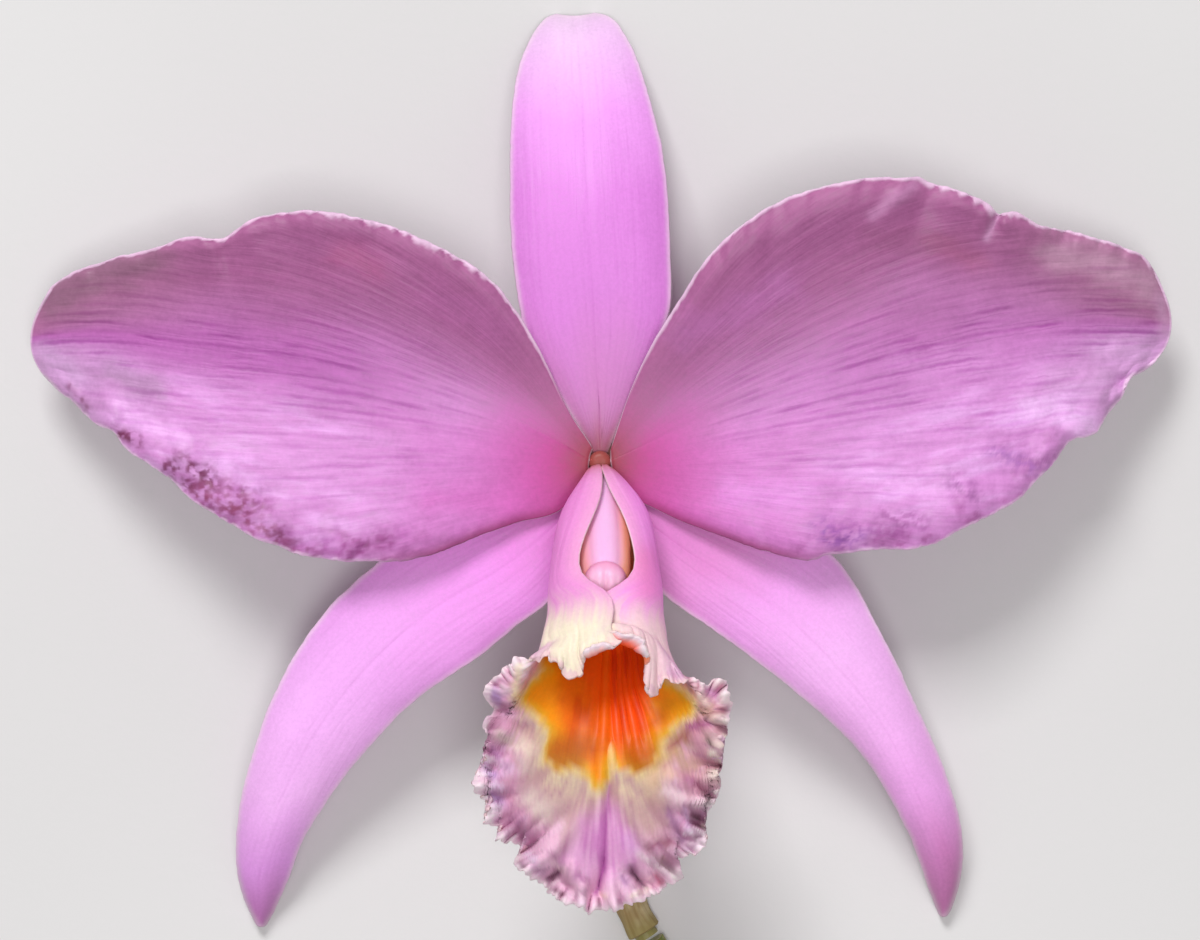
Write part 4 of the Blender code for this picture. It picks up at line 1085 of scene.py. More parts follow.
# Patches of the limb and its frill, partly painted: painted shade in pockets and folds, painted highlights
# on crests, and spots of its own colour. Each is (line, width, colour, strength, height in mm).
LIP_PATCHES = [
    # left side lobe
    ([(519, 668), (516, 684), (514, 698)], 5.0, (250, 226, 190), 0.8, 0.0),
    ([(525, 664), (525, 665)], 7.0, (246, 234, 232), 0.7, 0.3),
    ([(504, 671), (508, 672)], 6.0, (222, 186, 202), 0.7, -0.2),
    ([(494, 695), (498, 698)], 6.5, (182, 150, 204), 0.85, -0.5),
    ([(502, 687), (506, 690)], 4.0, (246, 218, 230), 0.7, 0.3),
    ([(489, 684), (488, 706)], 3.0, (250, 232, 240), 0.7, 0.2),
    ([(502, 718), (508, 719)], 6.5, (198, 146, 172), 0.8, -0.3),
    ([(518, 725), (532, 726)], 5.5, (162, 120, 132), 0.75, -0.35),
    ([(541, 719), (545, 722)], 4.0, (222, 156, 104), 0.6, 0.1),
    ([(499, 735), (507, 738)], 5.5, (188, 172, 162), 0.7, 0.1),
    ([(520, 745), (530, 750)], 9.0, (238, 214, 198), 0.75, 0.25),
    ([(494, 749), (498, 757)], 6.0, (168, 118, 164), 0.8, -0.45),
    ([(484, 764), (486, 770)], 4.5, (242, 216, 246), 0.8, 0.4),
    ([(490, 775), (494, 776)], 4.5, (192, 150, 206), 0.8, -0.35),
    ([(494, 786), (502, 787)], 4.0, (250, 216, 250), 0.8, 0.4),
    ([(504, 766), (510, 770)], 6.0, (228, 188, 224), 0.7, 0.1),
    ([(520, 763), (528, 768)], 6.0, (198, 174, 170), 0.6, -0.15),
    ([(493, 797), (499, 801)], 7.0, (164, 114, 180), 0.8, -0.5),
    ([(505, 795), (511, 799)], 7.0, (184, 120, 152), 0.7, -0.3),
    ([(530, 798), (544, 812)], 11.0, (226, 206, 196), 0.7, 0.2),
    ([(486, 820), (489, 821)], 3.6, (246, 232, 236), 0.8, 0.2),
    ([(512, 822), (532, 840)], 10.0, (162, 102, 138), 0.85, -0.6),
    ([(497, 836), (499, 837)], 3.6, (240, 222, 232), 0.7, 0.2),
    # lower lobe
    ([(524, 860), (545, 842), (560, 826)], 5.5, (242, 198, 222), 0.75, 0.4),
    ([(514, 857), (517, 858)], 4.0, (246, 234, 224), 0.8, 0.2),
    ([(528, 856), (533, 860)], 4.0, (250, 222, 250), 0.7, 0.3),
    ([(521, 864), (524, 868)], 3.0, (140, 100, 120), 0.7, -0.3),
    ([(535, 868), (541, 872)], 6.0, (210, 154, 196), 0.7, -0.2),
    ([(549, 880), (560, 870)], 5.0, (86, 28, 62), 0.92, -1.0),
    ([(552, 862), (566, 870)], 2.6, (250, 212, 226), 0.8, 0.3),
    ([(550, 883), (560, 882)], 2.2, (240, 202, 220), 0.7, 0.2),
    ([(567, 880), (572, 886)], 5.5, (168, 112, 142), 0.75, -0.4),
    ([(578, 875), (583, 879)], 4.0, (162, 88, 148), 0.7, -0.3),
    ([(556, 891), (563, 895)], 3.8, (122, 82, 102), 0.75, -0.4),
    ([(552, 855), (556, 857)], 3.2, (170, 104, 150), 0.6, -0.2),
    ([(564, 903), (567, 906)], 3.6, (250, 226, 240), 0.8, 0.3),
    ([(582, 904), (584, 908)], 3.8, (250, 214, 244), 0.8, 0.3),
    ([(598, 900), (598, 908)], 2.2, (120, 50, 90), 0.8, -0.3),
    ([(606, 858), (603, 874), (596, 892)], 4.0, (172, 76, 158), 0.75, -0.35),
    ([(601, 894), (605, 896)], 3.6, (250, 216, 202), 0.7, 0.2),
    ([(614, 888), (626, 900)], 6.0, (240, 192, 222), 0.6, 0.2),
    ([(631, 870), (638, 880), (645, 886)], 5.5, (112, 62, 92), 0.88, -0.8),
    ([(622, 878), (626, 883)], 4.0, (172, 126, 178), 0.7, -0.3),
    ([(656, 877), (660, 884)], 5.5, (190, 104, 134), 0.8, -0.4),
    ([(649, 878), (651, 888)], 2.6, (238, 184, 204), 0.7, 0.3),
    ([(638, 852), (656, 863), (676, 876)], 4.0, (250, 224, 236), 0.8, 0.5),
    ([(674, 876), (678, 880)], 3.6, (250, 240, 236), 0.8, 0.2),
    ([(632, 896), (648, 890)], 3.2, (246, 226, 216), 0.8, 0.3),
    ([(628, 836), (634, 846)], 8.0, (226, 164, 222), 0.6, 0.2),
    ([(584, 822), (590, 846)], 7.0, (222, 146, 206), 0.5, 0.0),
    # right side lobe
    ([(677, 680), (690, 694), (694, 712)], 4.2, (250, 222, 168), 0.8, 0.0),
    ([(709, 690), (715, 695)], 7.0, (210, 154, 196), 0.85, -0.5),
    ([(704, 680), (714, 679)], 3.6, (246, 232, 228), 0.7, 0.2),
    ([(725, 690), (725, 702)], 3.6, (250, 228, 236), 0.8, 0.3),
    ([(700, 694), (708, 706)], 4.0, (246, 216, 206), 0.7, 0.3),
    ([(702, 711), (710, 713)], 6.0, (190, 150, 130), 0.7, -0.3),
    ([(690, 727), (708, 724)], 5.0, (162, 82, 132), 0.85, -0.45),
    ([(668, 745), (686, 736)], 6.0, (156, 84, 66), 0.75, -0.3),
    ([(697, 738), (701, 748)], 5.0, (212, 152, 176), 0.7, 0.2),
    ([(709, 740), (711, 745)], 3.6, (96, 80, 72), 0.8, -0.5),
    ([(710, 753), (714, 752)], 2.8, (228, 224, 206), 0.8, 0.2),
    ([(686, 764), (694, 766)], 8.0, (200, 160, 140), 0.7, 0.0),
    ([(656, 764), (674, 753)], 7.0, (186, 142, 86), 0.65, 0.0),
    ([(652, 778), (668, 774)], 8.0, (236, 198, 166), 0.7, 0.1),
    ([(688, 780), (694, 782)], 5.5, (180, 110, 150), 0.8, -0.2),
    ([(697, 784), (708, 792)], 5.0, (134, 64, 94), 0.85, -0.5),
    ([(668, 790), (680, 798)], 8.0, (236, 208, 216), 0.75, 0.3),
    ([(694, 803), (706, 801)], 6.0, (238, 204, 216), 0.75, 0.3),
    ([(668, 810), (676, 824), (681, 840)], 5.5, (154, 104, 146), 0.8, -0.45),
    ([(684, 808), (688, 830)], 3.0, (226, 184, 222), 0.8, 0.3),
    ([(694, 814), (699, 817)], 4.5, (92, 60, 74), 0.85, -0.6),
    ([(703, 827), (706, 829)], 3.4, (214, 190, 180), 0.7, 0.2),
    ([(686, 832), (692, 832)], 2.6, (250, 226, 244), 0.8, 0.3),
    ([(696, 836), (700, 836)], 2.8, (96, 54, 74), 0.8, -0.3),
    ([(653, 846), (668, 842)], 7.0, (142, 74, 98), 0.85, -0.5),
    ([(664, 858), (672, 864)], 7.5, (126, 76, 84), 0.8, -0.5),
    ([(688, 848), (694, 852)], 5.0, (182, 132, 170), 0.7, 0.0),
    ([(636, 812), (650, 826)], 12.0, (202, 168, 162), 0.65, 0.0),
]
# Keels of the throat floor: (right, width, height).
KEELS = [
    (592, 5.0, 0.22), (605, 3.2, 0.45), (615, 2.3, 0.30), (621, 2.1, 0.26),
    (627, 2.1, 0.32), (633, 2.3, 0.30), (640, 2.8, 0.24),
]


def lip(material):
    cols = 790
    grid, passed, phi, margin = lip_grid(20, 40, cols)
    angle = phi[None] + 0 * passed
    n = normals(grid)
    uv = to_view(grid)
    steps = np.linalg.norm(np.diff(grid, axis=0), axis=-1)
    inwards = np.concatenate([np.cumsum(steps[::-1], axis=0)[::-1], np.zeros((1, cols))])
    from_claw = inwards[0][None] - inwards
    # How far each tooth of the margin stands out from its smooth course, in mm.
    plain = smoothed(margin[:, :2], 17)
    outwards = plain - np.array([600.0, 735.0])
    outwards /= np.linalg.norm(outwards, axis=1, keepdims=True)
    tooth = ((margin[:, :2] - plain) * outwards).sum(1) * UNIT
    # Place along the margin that lies straight out from each point, and how deep
    # inside that margin the point is, so that ruffles run square to the edge.
    edge = np.concatenate([[0.0], np.cumsum(np.linalg.norm(np.diff(grid[-1], axis=0), axis=-1))])
    tooth = np.clip(tooth, -0.7, 0.7)
    run, tooth_at, deep = (np.empty_like(passed) for _ in range(3))
    front_part = np.flatnonzero(np.abs(phi) <= 114)
    true_line = margin[front_part, :2]
    part = front_part[::2]
    fringe_line = plain[part]
    for i, row in enumerate(uv):
        far = ((row[:, None] - fringe_line[None]) ** 2).sum(-1)
        weight = np.exp(-(far - far.min(1, keepdims=True)) / (2 * 5.0**2 + 0.35 * far.min(1, keepdims=True)))
        weight /= weight.sum(1, keepdims=True)
        run[i] = weight @ edge[part]
        tooth_at[i] = weight @ tooth[part]
        deep[i] = np.sqrt(((row[:, None] - true_line[None]) ** 2).sum(-1).min(1)) * UNIT
    # Near the tube's mouth the columns of points run square to the edge anyway.
    own = ease(np.abs(angle), 98, 112)
    deep = np.maximum(deep, 0.3 * inwards) * (1 - own) + inwards * own
    whole, inwards = inwards, deep

    # Deep inside, the place along the margin changes fast from point to point, so
    # that ruffles die out there.
    rate = np.abs(np.diff(run, axis=1)) / np.maximum(
        np.linalg.norm(np.diff(uv, axis=1), axis=-1) * UNIT, 1e-6
    )
    rate = np.concatenate([rate, rate[:, -1:]], axis=1)
    down_rate = np.abs(np.diff(run, axis=0)) / np.maximum(
        np.linalg.norm(np.diff(uv, axis=0), axis=-1) * UNIT, 1e-6
    )
    rate = np.maximum(rate, np.concatenate([down_rate, down_rate[-1:]], axis=0))
    rate = np.maximum(np.maximum(rate, np.roll(rate, 2, 1)), np.roll(rate, -2, 1))
    calm = smoothed(smoothed(ease(2.3 - rate, 0, 0.9).T, 5).T, 2)
    calm = calm * np.exp(-((deep / 5.5) ** 3)) * (1 - own)

    def squared(field):
        """A field of place along the margin, taken straight out or by column."""
        return field(run) * calm + field(edge[None] + 0 * run) * own

    reach = np.interp(np.abs(phi), [0, 100, 124, 180], [1.0, 1.0, 0.30, 0.12])[None]
    limb = ease(passed, 7.4, 9.0)
    knobs = squared(lambda x: noise(x / 0.60, inwards / 4, 73))
    curls = squared(lambda x: noise(x / 1.1, inwards / 5, 72))
    lift = 1.45 * squared(lambda x: noise(x / 2.4, inwards / 9, 71)) * np.exp(
        -((inwards / 4.6) ** 1.5)
    )
    lift += 1.15 * curls * np.exp(-((inwards / 2.7) ** 1.5))
    lift += 1.05 * knobs * np.exp(-((inwards / 1.6) ** 1.5))
    lift += 1.5 * (tooth_at * calm + tooth[None] * own) * np.exp(-((inwards / 4.4) ** 1.6))
    lift *= reach
    ruffle = lift.copy()
    lift += 1.5 * ease(44 - np.abs(angle), 0, 18) * np.exp(-((inwards / 3.2) ** 2))
    lift += 0.85 * folds(uv, LIP_FOLDS) * ease(passed, 7.0, 8.2)
    relief = 0.42 * squared(lambda x: layered(x / 1.7, inwards / 8, 74, 2)) * limb * (
        1 - 0.9 * ease(inwards, 6, 12)
    )
    # Patches with ragged outlines, some hollow and some swollen.
    ragged = np.stack(
        [
            layered(uv[..., 0] / 6, uv[..., 1] / 6, 88, 2),
            layered(uv[..., 0] / 6, uv[..., 1] / 6, 89, 2),
        ], -1,
    )
    limb_part = ease(passed, 7.2, 7.9) * ease(128 - np.abs(angle), 0, 14)
    for line, width, _, _, high in LIP_PATCHES:
        patch, _ = stroke(uv + 0.38 * width * ragged, line, width)
        lift = lift + min(0.8, 0.16 * width) * high * patch * limb_part
    floor = ease(40 - np.abs(angle), 0, 14)
    # Keels keep to the columns of points that pass each mark at one height.
    middle_row = int(np.argmin(np.abs(uv[:, cols // 2, 1] - 692)))
    for right, width, high in KEELS:
        at_row = uv[middle_row]
        near = np.abs(phi) < 60
        centre = np.interp(right, at_row[near, 0], phi[near])
        wide = np.interp(right + width, at_row[near, 0], phi[near]) - centre
        keel = np.exp(-(((angle - centre) / wide) ** 2))
        relief += high * keel * floor * ease(passed, 3.0, 5.5) * (
            1 - ease(uv[..., 1], 728, 764)
        )
    bump, _ = stroke(uv, [(637, 751), (641, 754)], 8.5)
    relief += 0.75 * bump * floor * ease(passed, 6.5, 7.5)
    bump, _ = stroke(uv, [(612, 748), (612, 764)], 3.2)
    relief += 0.45 * bump * floor * ease(passed, 6.5, 7.5)
    bump, _ = stroke(uv, [(601, 742), (600, 782)], 6.0)
    relief += 0.35 * bump * floor * ease(passed, 6.5, 7.5)
    # Fine pleats that run along the tube.
    relief += 0.05 * layered(angle / 9.0, from_claw / 14, 75, 2) * (1 - limb)
    sight = np.array([0.0, -0.98, VIEW_DISTANCE]) - grid
    sight /= np.linalg.norm(sight, axis=-1, keepdims=True)
    grid = grid + n * relief[..., None] + sight * lift[..., None]
    # Small teeth along the very edge, pushed square out from it.
    tangent = np.gradient(grid[-1], axis=0)
    tangent = smoothed(tangent / np.linalg.norm(tangent, axis=-1, keepdims=True), 8)
    tangent /= np.linalg.norm(tangent, axis=-1, keepdims=True)
    up = smoothed(n[-1], 8)
    out = np.cross(tangent, up)
    out /= np.linalg.norm(out, axis=-1, keepdims=True)
    away = grid[-1] - grid[-4]
    out *= np.sign((out * away).sum(-1, keepdims=True))
    fringe = squared(
        lambda x: 0.34 * noise(x / 0.58, 0 * x, 76) + 0.16 * noise(x / 0.33, 0 * x, 77)
    )
    grid = grid + out[None] * (
        fringe * np.exp(-((inwards / 0.8) ** 2)) * np.interp(
            np.abs(angle), [0, 120, 150, 180], [1, 1, 0.5, 0.3]
        )
    )[..., None]
    sway = squared(
        lambda x: 0.28 * noise(x / 1.9, inwards / 4, 78) * np.exp(-((inwards / 2.2) ** 2))
        + 0.16 * noise(x / 0.7, inwards / 2, 79) * np.exp(-((inwards / 1.2) ** 2))
    ) * reach
    grid = grid + tangent[None] * sway[..., None]

    thick = LIP_THICK * (0.34 + 0.66 * (1 - np.exp(-inwards / 1.9)))
    thick = thick * (1 - 0.25 * limb)
    thick = np.maximum(thick, 0.62 * ease(np.abs(angle), 118, 136) * ease(passed, 6.5, 7.5))
    # Distance round the tube from its free long edges.
    hop = np.linalg.norm(np.diff(grid, axis=1), axis=-1)
    round_ = np.concatenate([0 * hop[:, :1], np.cumsum(hop, axis=1)], axis=1)
    free = np.minimum(round_, round_[:, -1:] - round_)
    thick = thick * (0.5 + 0.5 * (1 - np.exp(-free / 0.9)))
    gauge = np.gradient(round_, axis=1) / np.gradient(angle, axis=1) * 5.5

    uv = to_view(grid)
    side = np.abs(angle)
    patchy = layered(uv[..., 0] / 9, uv[..., 1] / 9, 81, 3)
    radial = layered(angle / 3.2, inwards / 9, 82, 3)
    # Inside face: white ground, lavender lobe and frill, golden throat, red keels.
    turn = np.degrees(np.arctan2(uv[..., 0] - 606, uv[..., 1] - 706))
    centre_far = np.hypot(uv[..., 0] - 606, uv[..., 1] - 706)
    rays = layered(turn / 4.2, centre_far / 60, 85, 3)
    fine_rays = layered(turn / 1.5, centre_far / 45, 86, 2)
    face = mix(
        tone(186, 146, 144), tone(212, 190, 160),
        ease(0.5 * patchy + 0.7 * rays + 0.4 * fine_rays, -0.55, 0.45),
    )
    # Painted shade, warmer in hue, over the right side of the limb, away from the light.
    right_side_shade = ease(uv[..., 0], 630, 664) * ease(passed, 7.5, 8.5)
    face = mix(face, face * np.array([0.76, 0.72, 0.50]), 0.9 * right_side_shade)
    outer_zone = ease(centre_far + 12 * rays, 78, 128) * ease(passed, 7.5, 8.5)
    face = mix(face, tone(200, 142, 176), 0.6 * outer_zone)
    lobe = ease(inside(uv, LAVENDER_LINE) + 9 * rays, -12, 14)
    lobe_tone = mix(tone(216, 129, 203), tone(242, 180, 226), ease(rays + 0.5 * fine_rays, -0.4, 0.5))
    face = mix(face, lobe_tone, 0.92 * lobe)
    band = np.interp(side, [0, 30, 60, 100, 118, 135], [4.4, 4.8, 4.6, 3.4, 1.6, 0.5])
    frill = 1 - ease(inwards + 1.5 * radial, 0.45 * band, 1.25 * band)
    frill_tone = mix(tone(222, 156, 194), tone(192, 128, 168), ease(radial, -0.2, 0.5))
    frill_tone = mix(frill_tone, tone(226, 170, 216), ease(patchy, 0.0, 0.6))
    face = mix(face, frill_tone, 0.88 * frill * ease(130 - side, 0, 20))
    # Painted highlight on the raised ruffles and painted shade in their hollows.
    crest = ease(ruffle, 0.15, 1.1) * np.exp(-((inwards / 2.6) ** 2))
    face = mix(face, tone(244, 214, 230), 0.8 * crest * ease(130 - side, 0, 20))
    hollow = ease(-ruffle, 0.2, 1.2) * np.exp(-((inwards / 3.4) ** 2))
    face = mix(face, tone(160, 98, 130), 0.64 * hollow * ease(130 - side, 0, 20))
    # Painted shade in the dips between the beads of the edge, painted highlight on their tips.
    beads = 0.6 * curls + 0.8 * knobs
    dips = ease(-beads, -0.05, 0.55) * np.exp(-(((inwards - 0.5) / 1.9) ** 2))
    face = mix(face, tone(148, 90, 118), 0.50 * dips * ease(126 - side, 0, 20))
    tips = ease(beads, 0.0, 0.55) * np.exp(-((inwards / 1.5) ** 2))
    face = mix(face, tone(255, 234, 246), 0.90 * tips * ease(126 - side, 0, 20))
    # Paler pink on the frill of the lower lobe: its own colour, made lighter as painted light where the
    # frill tilts away from the light.
    bottom = ease(34 - side, 0, 14)
    face = mix(face, tone(248, 202, 226), 0.72 * bottom * frill)
    warm = ease(uv[..., 0], 672, 696) * (1 - ease(uv[..., 1], 770, 820)) * ease(passed, 7.5, 8.5)
    face = mix(face, face * np.array([1.0, 1.04, 0.78]), 0.8 * warm)
    # Painted shade, painted highlights and own-colour spots on the limb.
    for line, width, colour, strength, _ in LIP_PATCHES:
        patch, _ = stroke(uv + 0.38 * width * ragged, line, width)
        face = mix(face, tone(*colour), patch * limb_part * strength)
    specks = ease(layered((run + 0 * side) / 0.8, inwards / 0.9, 83, 2), 0.15, 0.55)
    face = mix(face, tone(156, 100, 140), 0.42 * specks * frill * ease(110 - side, 0, 20))
    gold = inside(uv, GOLD_LINE) + 3.5 * patchy
    gold = np.maximum(gold, (7.3 - passed) * 14 * ease(120 - side, 0, 30))
    face = mix(face, tone(232, 204, 130), 0.85 * ease(gold, -9, 2))
    face = mix(face, tone(226, 172, 40), ease(gold, -3, 4))
    face = mix(face, tone(248, 152, 2), ease(gold, 1, 10))
    amber = mix(tone(226, 88, 0), tone(240, 110, 0), ease(patchy, -0.4, 0.4))
    wings = ease(np.abs(uv[..., 0] - 614), 44, 66)
    face = mix(face, amber, ease(gold, 5, 22) * (1 - 0.8 * wings))
    low_edge = ease(uv[..., 1], 728, 758) * ease(gold, -3, 5) * ease(np.abs(uv[..., 0] - 604), 12, 30)
    face = mix(face, tone(176, 104, 4), 0.85 * low_edge)
    stripe = layered(angle / 1.15, uv[..., 1] / 60, 84, 2)
    red = ease(uv[..., 0] + 5 * stripe, 577, 606) * (1 - ease(uv[..., 0] + 4 * stripe, 640, 655))
    red = red * (1 - ease(uv[..., 1] + 10 * stripe, 706, 764))
    red = np.maximum(red, ease(7.0 - passed, 0, 1.5)) * ease(gold, 2, 10)
    right_side = ease(uv[..., 0], 606, 614)
    reds = mix(tone(255, 104, 2), tone(255, 82, 0), right_side)
    reds = mix(reds, tone(214, 36, 0), 0.65 * ease(stripe, 0.05, 0.5) * right_side)
    face = mix(face, reds, red)
    # Patches in the throat: the first lightens the orange under the tube's mouth, painted light against the
    # shade there; the second is darker amber and the third lighter gold.
    for line, width, colour, strength in (
        ([(596, 660), (600, 704)], 12, tone(255, 92, 0), 0.75),
        ([(560, 746), (590, 746)], 13, tone(186, 90, 0), 0.80),
        ([(658, 706), (684, 708)], 10, tone(230, 158, 0), 0.50),
    ):
        throat_patch, _ = stroke(uv + 3 * ragged, line, width)
        face = mix(face, colour, throat_patch * strength * ease(gold, -1, 5))
    knob, _ = stroke(uv, [(640, 752), (641, 753)], 11.0)
    face = mix(face, tone(214, 92, 4), 0.7 * knob)
    # Small cream spots on the ends of the keels: painted highlights.
    keel_end_highlight, _ = stroke(uv, [(611, 751), (613, 767)], 2.6)
    face = mix(face, tone(246, 206, 130), 0.8 * keel_end_highlight * floor)
    # Pale cream deep in the tube: its own colour, made paler as painted light that lifts the shade inside
    # the tube.
    deep_throat = ease(4.6 - passed, 0, 2.5)
    face = mix(face, tone(250, 216, 168), 0.9 * deep_throat)
    # Dark purple line along the middle groove: partly own colour, partly painted shade in the crease.
    groove, _ = stroke(uv, [(609, 786), (606, 820), (605, 850), (598, 894)], 3.4)
    face = mix(face, tone(168, 84, 156), 0.6 * groove)
    # The inner side of the tube's roof is pale like its outer side; this pale colour is also painted light
    # that lifts the shade in the gap beside the column.
    roof = ease(side, 70, 110) * (1 - ease(passed, 6.6, 7.6))
    face = mix(face, mix(tone(244, 206, 206), tone(222, 224, 244), ease(passed, 4, 6)), roof)
    # Pale rim along the edge of the limb: its own pale edge, widened as painted highlight on the frill's
    # edge.
    pale_rim = np.exp(-((inwards / np.interp(side, [0, 110, 140, 180], [0.46, 0.46, 0.8, 0.9])) ** 2))
    rim_tone = mix(tone(248, 224, 234), tone(232, 226, 240), ease(side, 110, 140))
    face = mix(face, rim_tone, 0.85 * pale_rim)
    # Outside face: pink tube that turns cream towards the mouth.
    outer = mix(tone(240, 150, 220), tone(255, 158, 240), ease(uv[..., 0], 590, 650))
    outer = mix(outer, tone(246, 176, 214), 0.6 * np.exp(-((free / 1.6) ** 2)) * ease(side, 120, 150))
    cream = ease(uv[..., 1] + 10 * radial + 6 * patchy, 586, 632)
    cream_tone = mix(tone(243, 230, 206), tone(243, 206, 212), ease(uv[..., 0] + 14 * patchy, 590, 636))
    outer = mix(outer, cream_tone, cream)
    rosy, _ = stroke(uv, [(643, 560), (646, 590)], 14)
    outer = mix(outer, tone(236, 122, 182), 0.55 * rosy)
    outer = mix(outer, tone(222, 176, 204), 0.8 * ease(passed, 7.5, 8.6) * ease(135 - side, 0, 20))
    outer = mix(outer, tone(210, 158, 196), 0.5 * frill)
    outer = mix(outer, tone(250, 212, 210), 0.7 * pale_rim)
    claw = np.exp(-((from_claw / 3.0) ** 2))
    outer = mix(outer, tone(214, 128, 120), 0.7 * claw)

    q = angle / 5.5
    veining = 0.30 * ease(passed, 7.5, 9) * ease(inwards, 0.4, 1.5)
    piece = shell(
        "frilled_lip", grid, thick,
        threads(face, q, from_claw, 0.0, gauge, veining),
        threads(outer, q, from_claw, 1.3, gauge, 0.12),
        {"tint": tone(246, 222, 224), "veining": 0.0},
    )
    return adopt(piece, "lip", material)


# ------------------------------------------------- column, cap, pollinia


def column(material):
    rings, marks, flows = [], [], []
    shares = np.linspace(0, 1, 64)
    table = np.array(
        [[*dorsal, *ventral, half, x] for dorsal, ventral, half, x in COLUMN_RINGS]
    )
    sides = 96
    psi = np.linspace(0, 2 * math.pi, sides, endpoint=False)
    for share, (dy, dz, vy, vz, half, x) in zip(shares, along(table, shares)):
        d, v = np.array([dy, dz]), np.array([vy, vz])
        centre = d + (v - d) * 0.52
        c = np.cos(psi)
        ridge = 1 + 0.10 * np.maximum(c, 0) ** 8
        back = (d - centre)[None] * (np.maximum(c, 0) * ridge / 1.10)[:, None]
        front = (v - centre)[None] * (np.maximum(-c, 0) ** 0.8)[:, None]
        # A shallow furrow on either side of the ridge.
        furrow = 1 - 0.05 * np.exp(-(((np.abs(np.sin(psi)) - 0.55) / 0.16) ** 2)) * (c > 0)
        furrow = furrow * (1 + 0.012 * noise(psi * 3, share * 9, 91))
        yz = centre + (back + front) * furrow[:, None]
        broad = 1 + 0.20 * math.sin(math.pi * share) ** 0.7
        xs = x + broad * half * np.sign(np.sin(psi)) * np.abs(np.sin(psi)) ** 0.85 * furrow
        rings.append(np.stack([xs, yz[:, 0], yz[:, 1]], axis=-1))
        # Paler crest along the column's ridge: partly own colour, partly painted highlight.
        crest = np.exp(-(((np.abs(np.sin(psi))) / 0.42) ** 2)) * (c > 0)
        flank = ease(np.abs(np.sin(psi)), 0.45, 0.85)
        tint = mix(tone(243, 174, 208), tone(244, 190, 238), crest)
        # Peach flanks: painted reflection of the warm inner wall of the lip.
        peach = mix(tone(238, 162, 156), tone(242, 162, 118), ease(np.sin(psi), 0.0, 0.6))
        tint = mix(tint, peach, 0.85 * flank * ease(share, 0.25, 0.5))
        tint = mix(tint, tone(250, 226, 150), 0.6 * (c < -0.2) * ease(share, 0.3, 0.8))
        tint = mix(tint, tone(208, 120, 130), np.full(sides, 0.8 * (1 - ease(share, 0.0, 0.2))))
        marks.append(tint)
        flows.append(
            np.stack([(math.pi - np.abs(psi - math.pi)) * 5, np.full(sides, share * 24)], -1)
        )
    flow = np.stack(flows)
    piece = tube(
        "column_body", rings,
        threads(np.stack(marks), flow[..., 0], flow[..., 1], 2.2, 0.6, 0.15), 50,
    )
    return adopt(piece, "column", material)


def turned(points, degrees):
    a = math.radians(degrees)
    c, s = math.cos(a), math.sin(a)
    out = np.array(points, float)
    out[..., 1] = points[..., 1] * c - points[..., 2] * s
    out[..., 2] = points[..., 1] * s + points[..., 2] * c
    return out


def anther_cap(material):
    """A hollow dome with a groove between its two lobes."""
    sides, rings = 96, 34
    b = np.linspace(0, 2 * math.pi, sides, endpoint=False)[None]

    def dome(half, count, low):
        a = (np.linspace(low, 1, count) ** 1.0 * math.pi / 2)[:, None]
        x = half[0] * np.cos(a) ** 0.8 * np.cos(b)
        y = half[1] * np.cos(a) ** 0.8 * np.sin(b)
        z = half[2] * np.sin(a) + 0 * b
        groove = 0.26 * np.exp(-((x / 0.42) ** 2)) * np.sin(a)
        seam = 0.10 * np.exp(-(((np.abs(x) - 1.35) / 0.28) ** 2)) * np.sin(a)
        return np.stack([x, y, z - groove - seam], -1)

    outer = dome(CAP_HALF, rings, 0.0)
    bead = outer[:3] * np.array([1.0, 1.0, 1.0])
    outer[:3] = bead
    inner = dome(tuple(h - CAP_WALL for h in CAP_HALF), rings, 0.0)
    points = np.concatenate([outer[::-1], inner])
    points = turned(points, CAP_TILT) + np.array(CAP_CENTRE)
    high = outer[..., 2] / CAP_HALF[2]
    tint = mix(tone(254, 172, 212), tone(255, 192, 226), ease(high + 0.2 * noise(outer[..., 0], outer[..., 1], 93), 0.25, 0.95))
    tint = mix(tint, tone(236, 140, 196), 0.6 * np.exp(-((outer[..., 0] / 0.35) ** 2)) * ease(-outer[..., 1], -0.5, 1.5))
    tint = mix(tint, tone(244, 150, 190), 0.5 * (1 - ease(high, 0.05, 0.4)))
    inside_tint = mix(tint, tone(250, 226, 190), 0.7)
    tints = np.concatenate([tint[::-1], inside_tint])
    piece = tube(
        "anther_hood", points,
        threads(
            tints, np.abs(b - math.pi) * 4 + 0 * points[..., 0], points[..., 1], 3.1, 0.6, 0.1
        ), 60,
    )
    return adopt(piece, "anther_cap", material)


# ----------------------------------------------------------- stalk and stem


def stem_path(count):
    """Centre line from the ovary's top, round its bend, and along the table."""
    bend = []
    bottom = -JUNCTION_HEIGHT + OVARY_RADIUS
    drop = OVARY_TOP - bottom
    for i in range(9):
        a = math.pi / 2 * i / 8
        bend.append(
            (0.0, -BEND_RADIUS * (1 - math.cos(a)), OVARY_TOP - drop * math.sin(a))
        )
    line = np.array(bend + [(x, y, bottom) for x, y in STEM_LINE])
    return along(line, np.linspace(0, 1, count))


def lowered(centres, radii):
    """Settles each centre so that a lying tube of that radius meets the table."""
    out = centres.copy()
    flat = ease(-out[:, 1], 13.0, 17.0)
    target = -JUNCTION_HEIGHT + radii
    out[:, 2] = out[:, 2] * (1 - flat) + target * flat
    return out


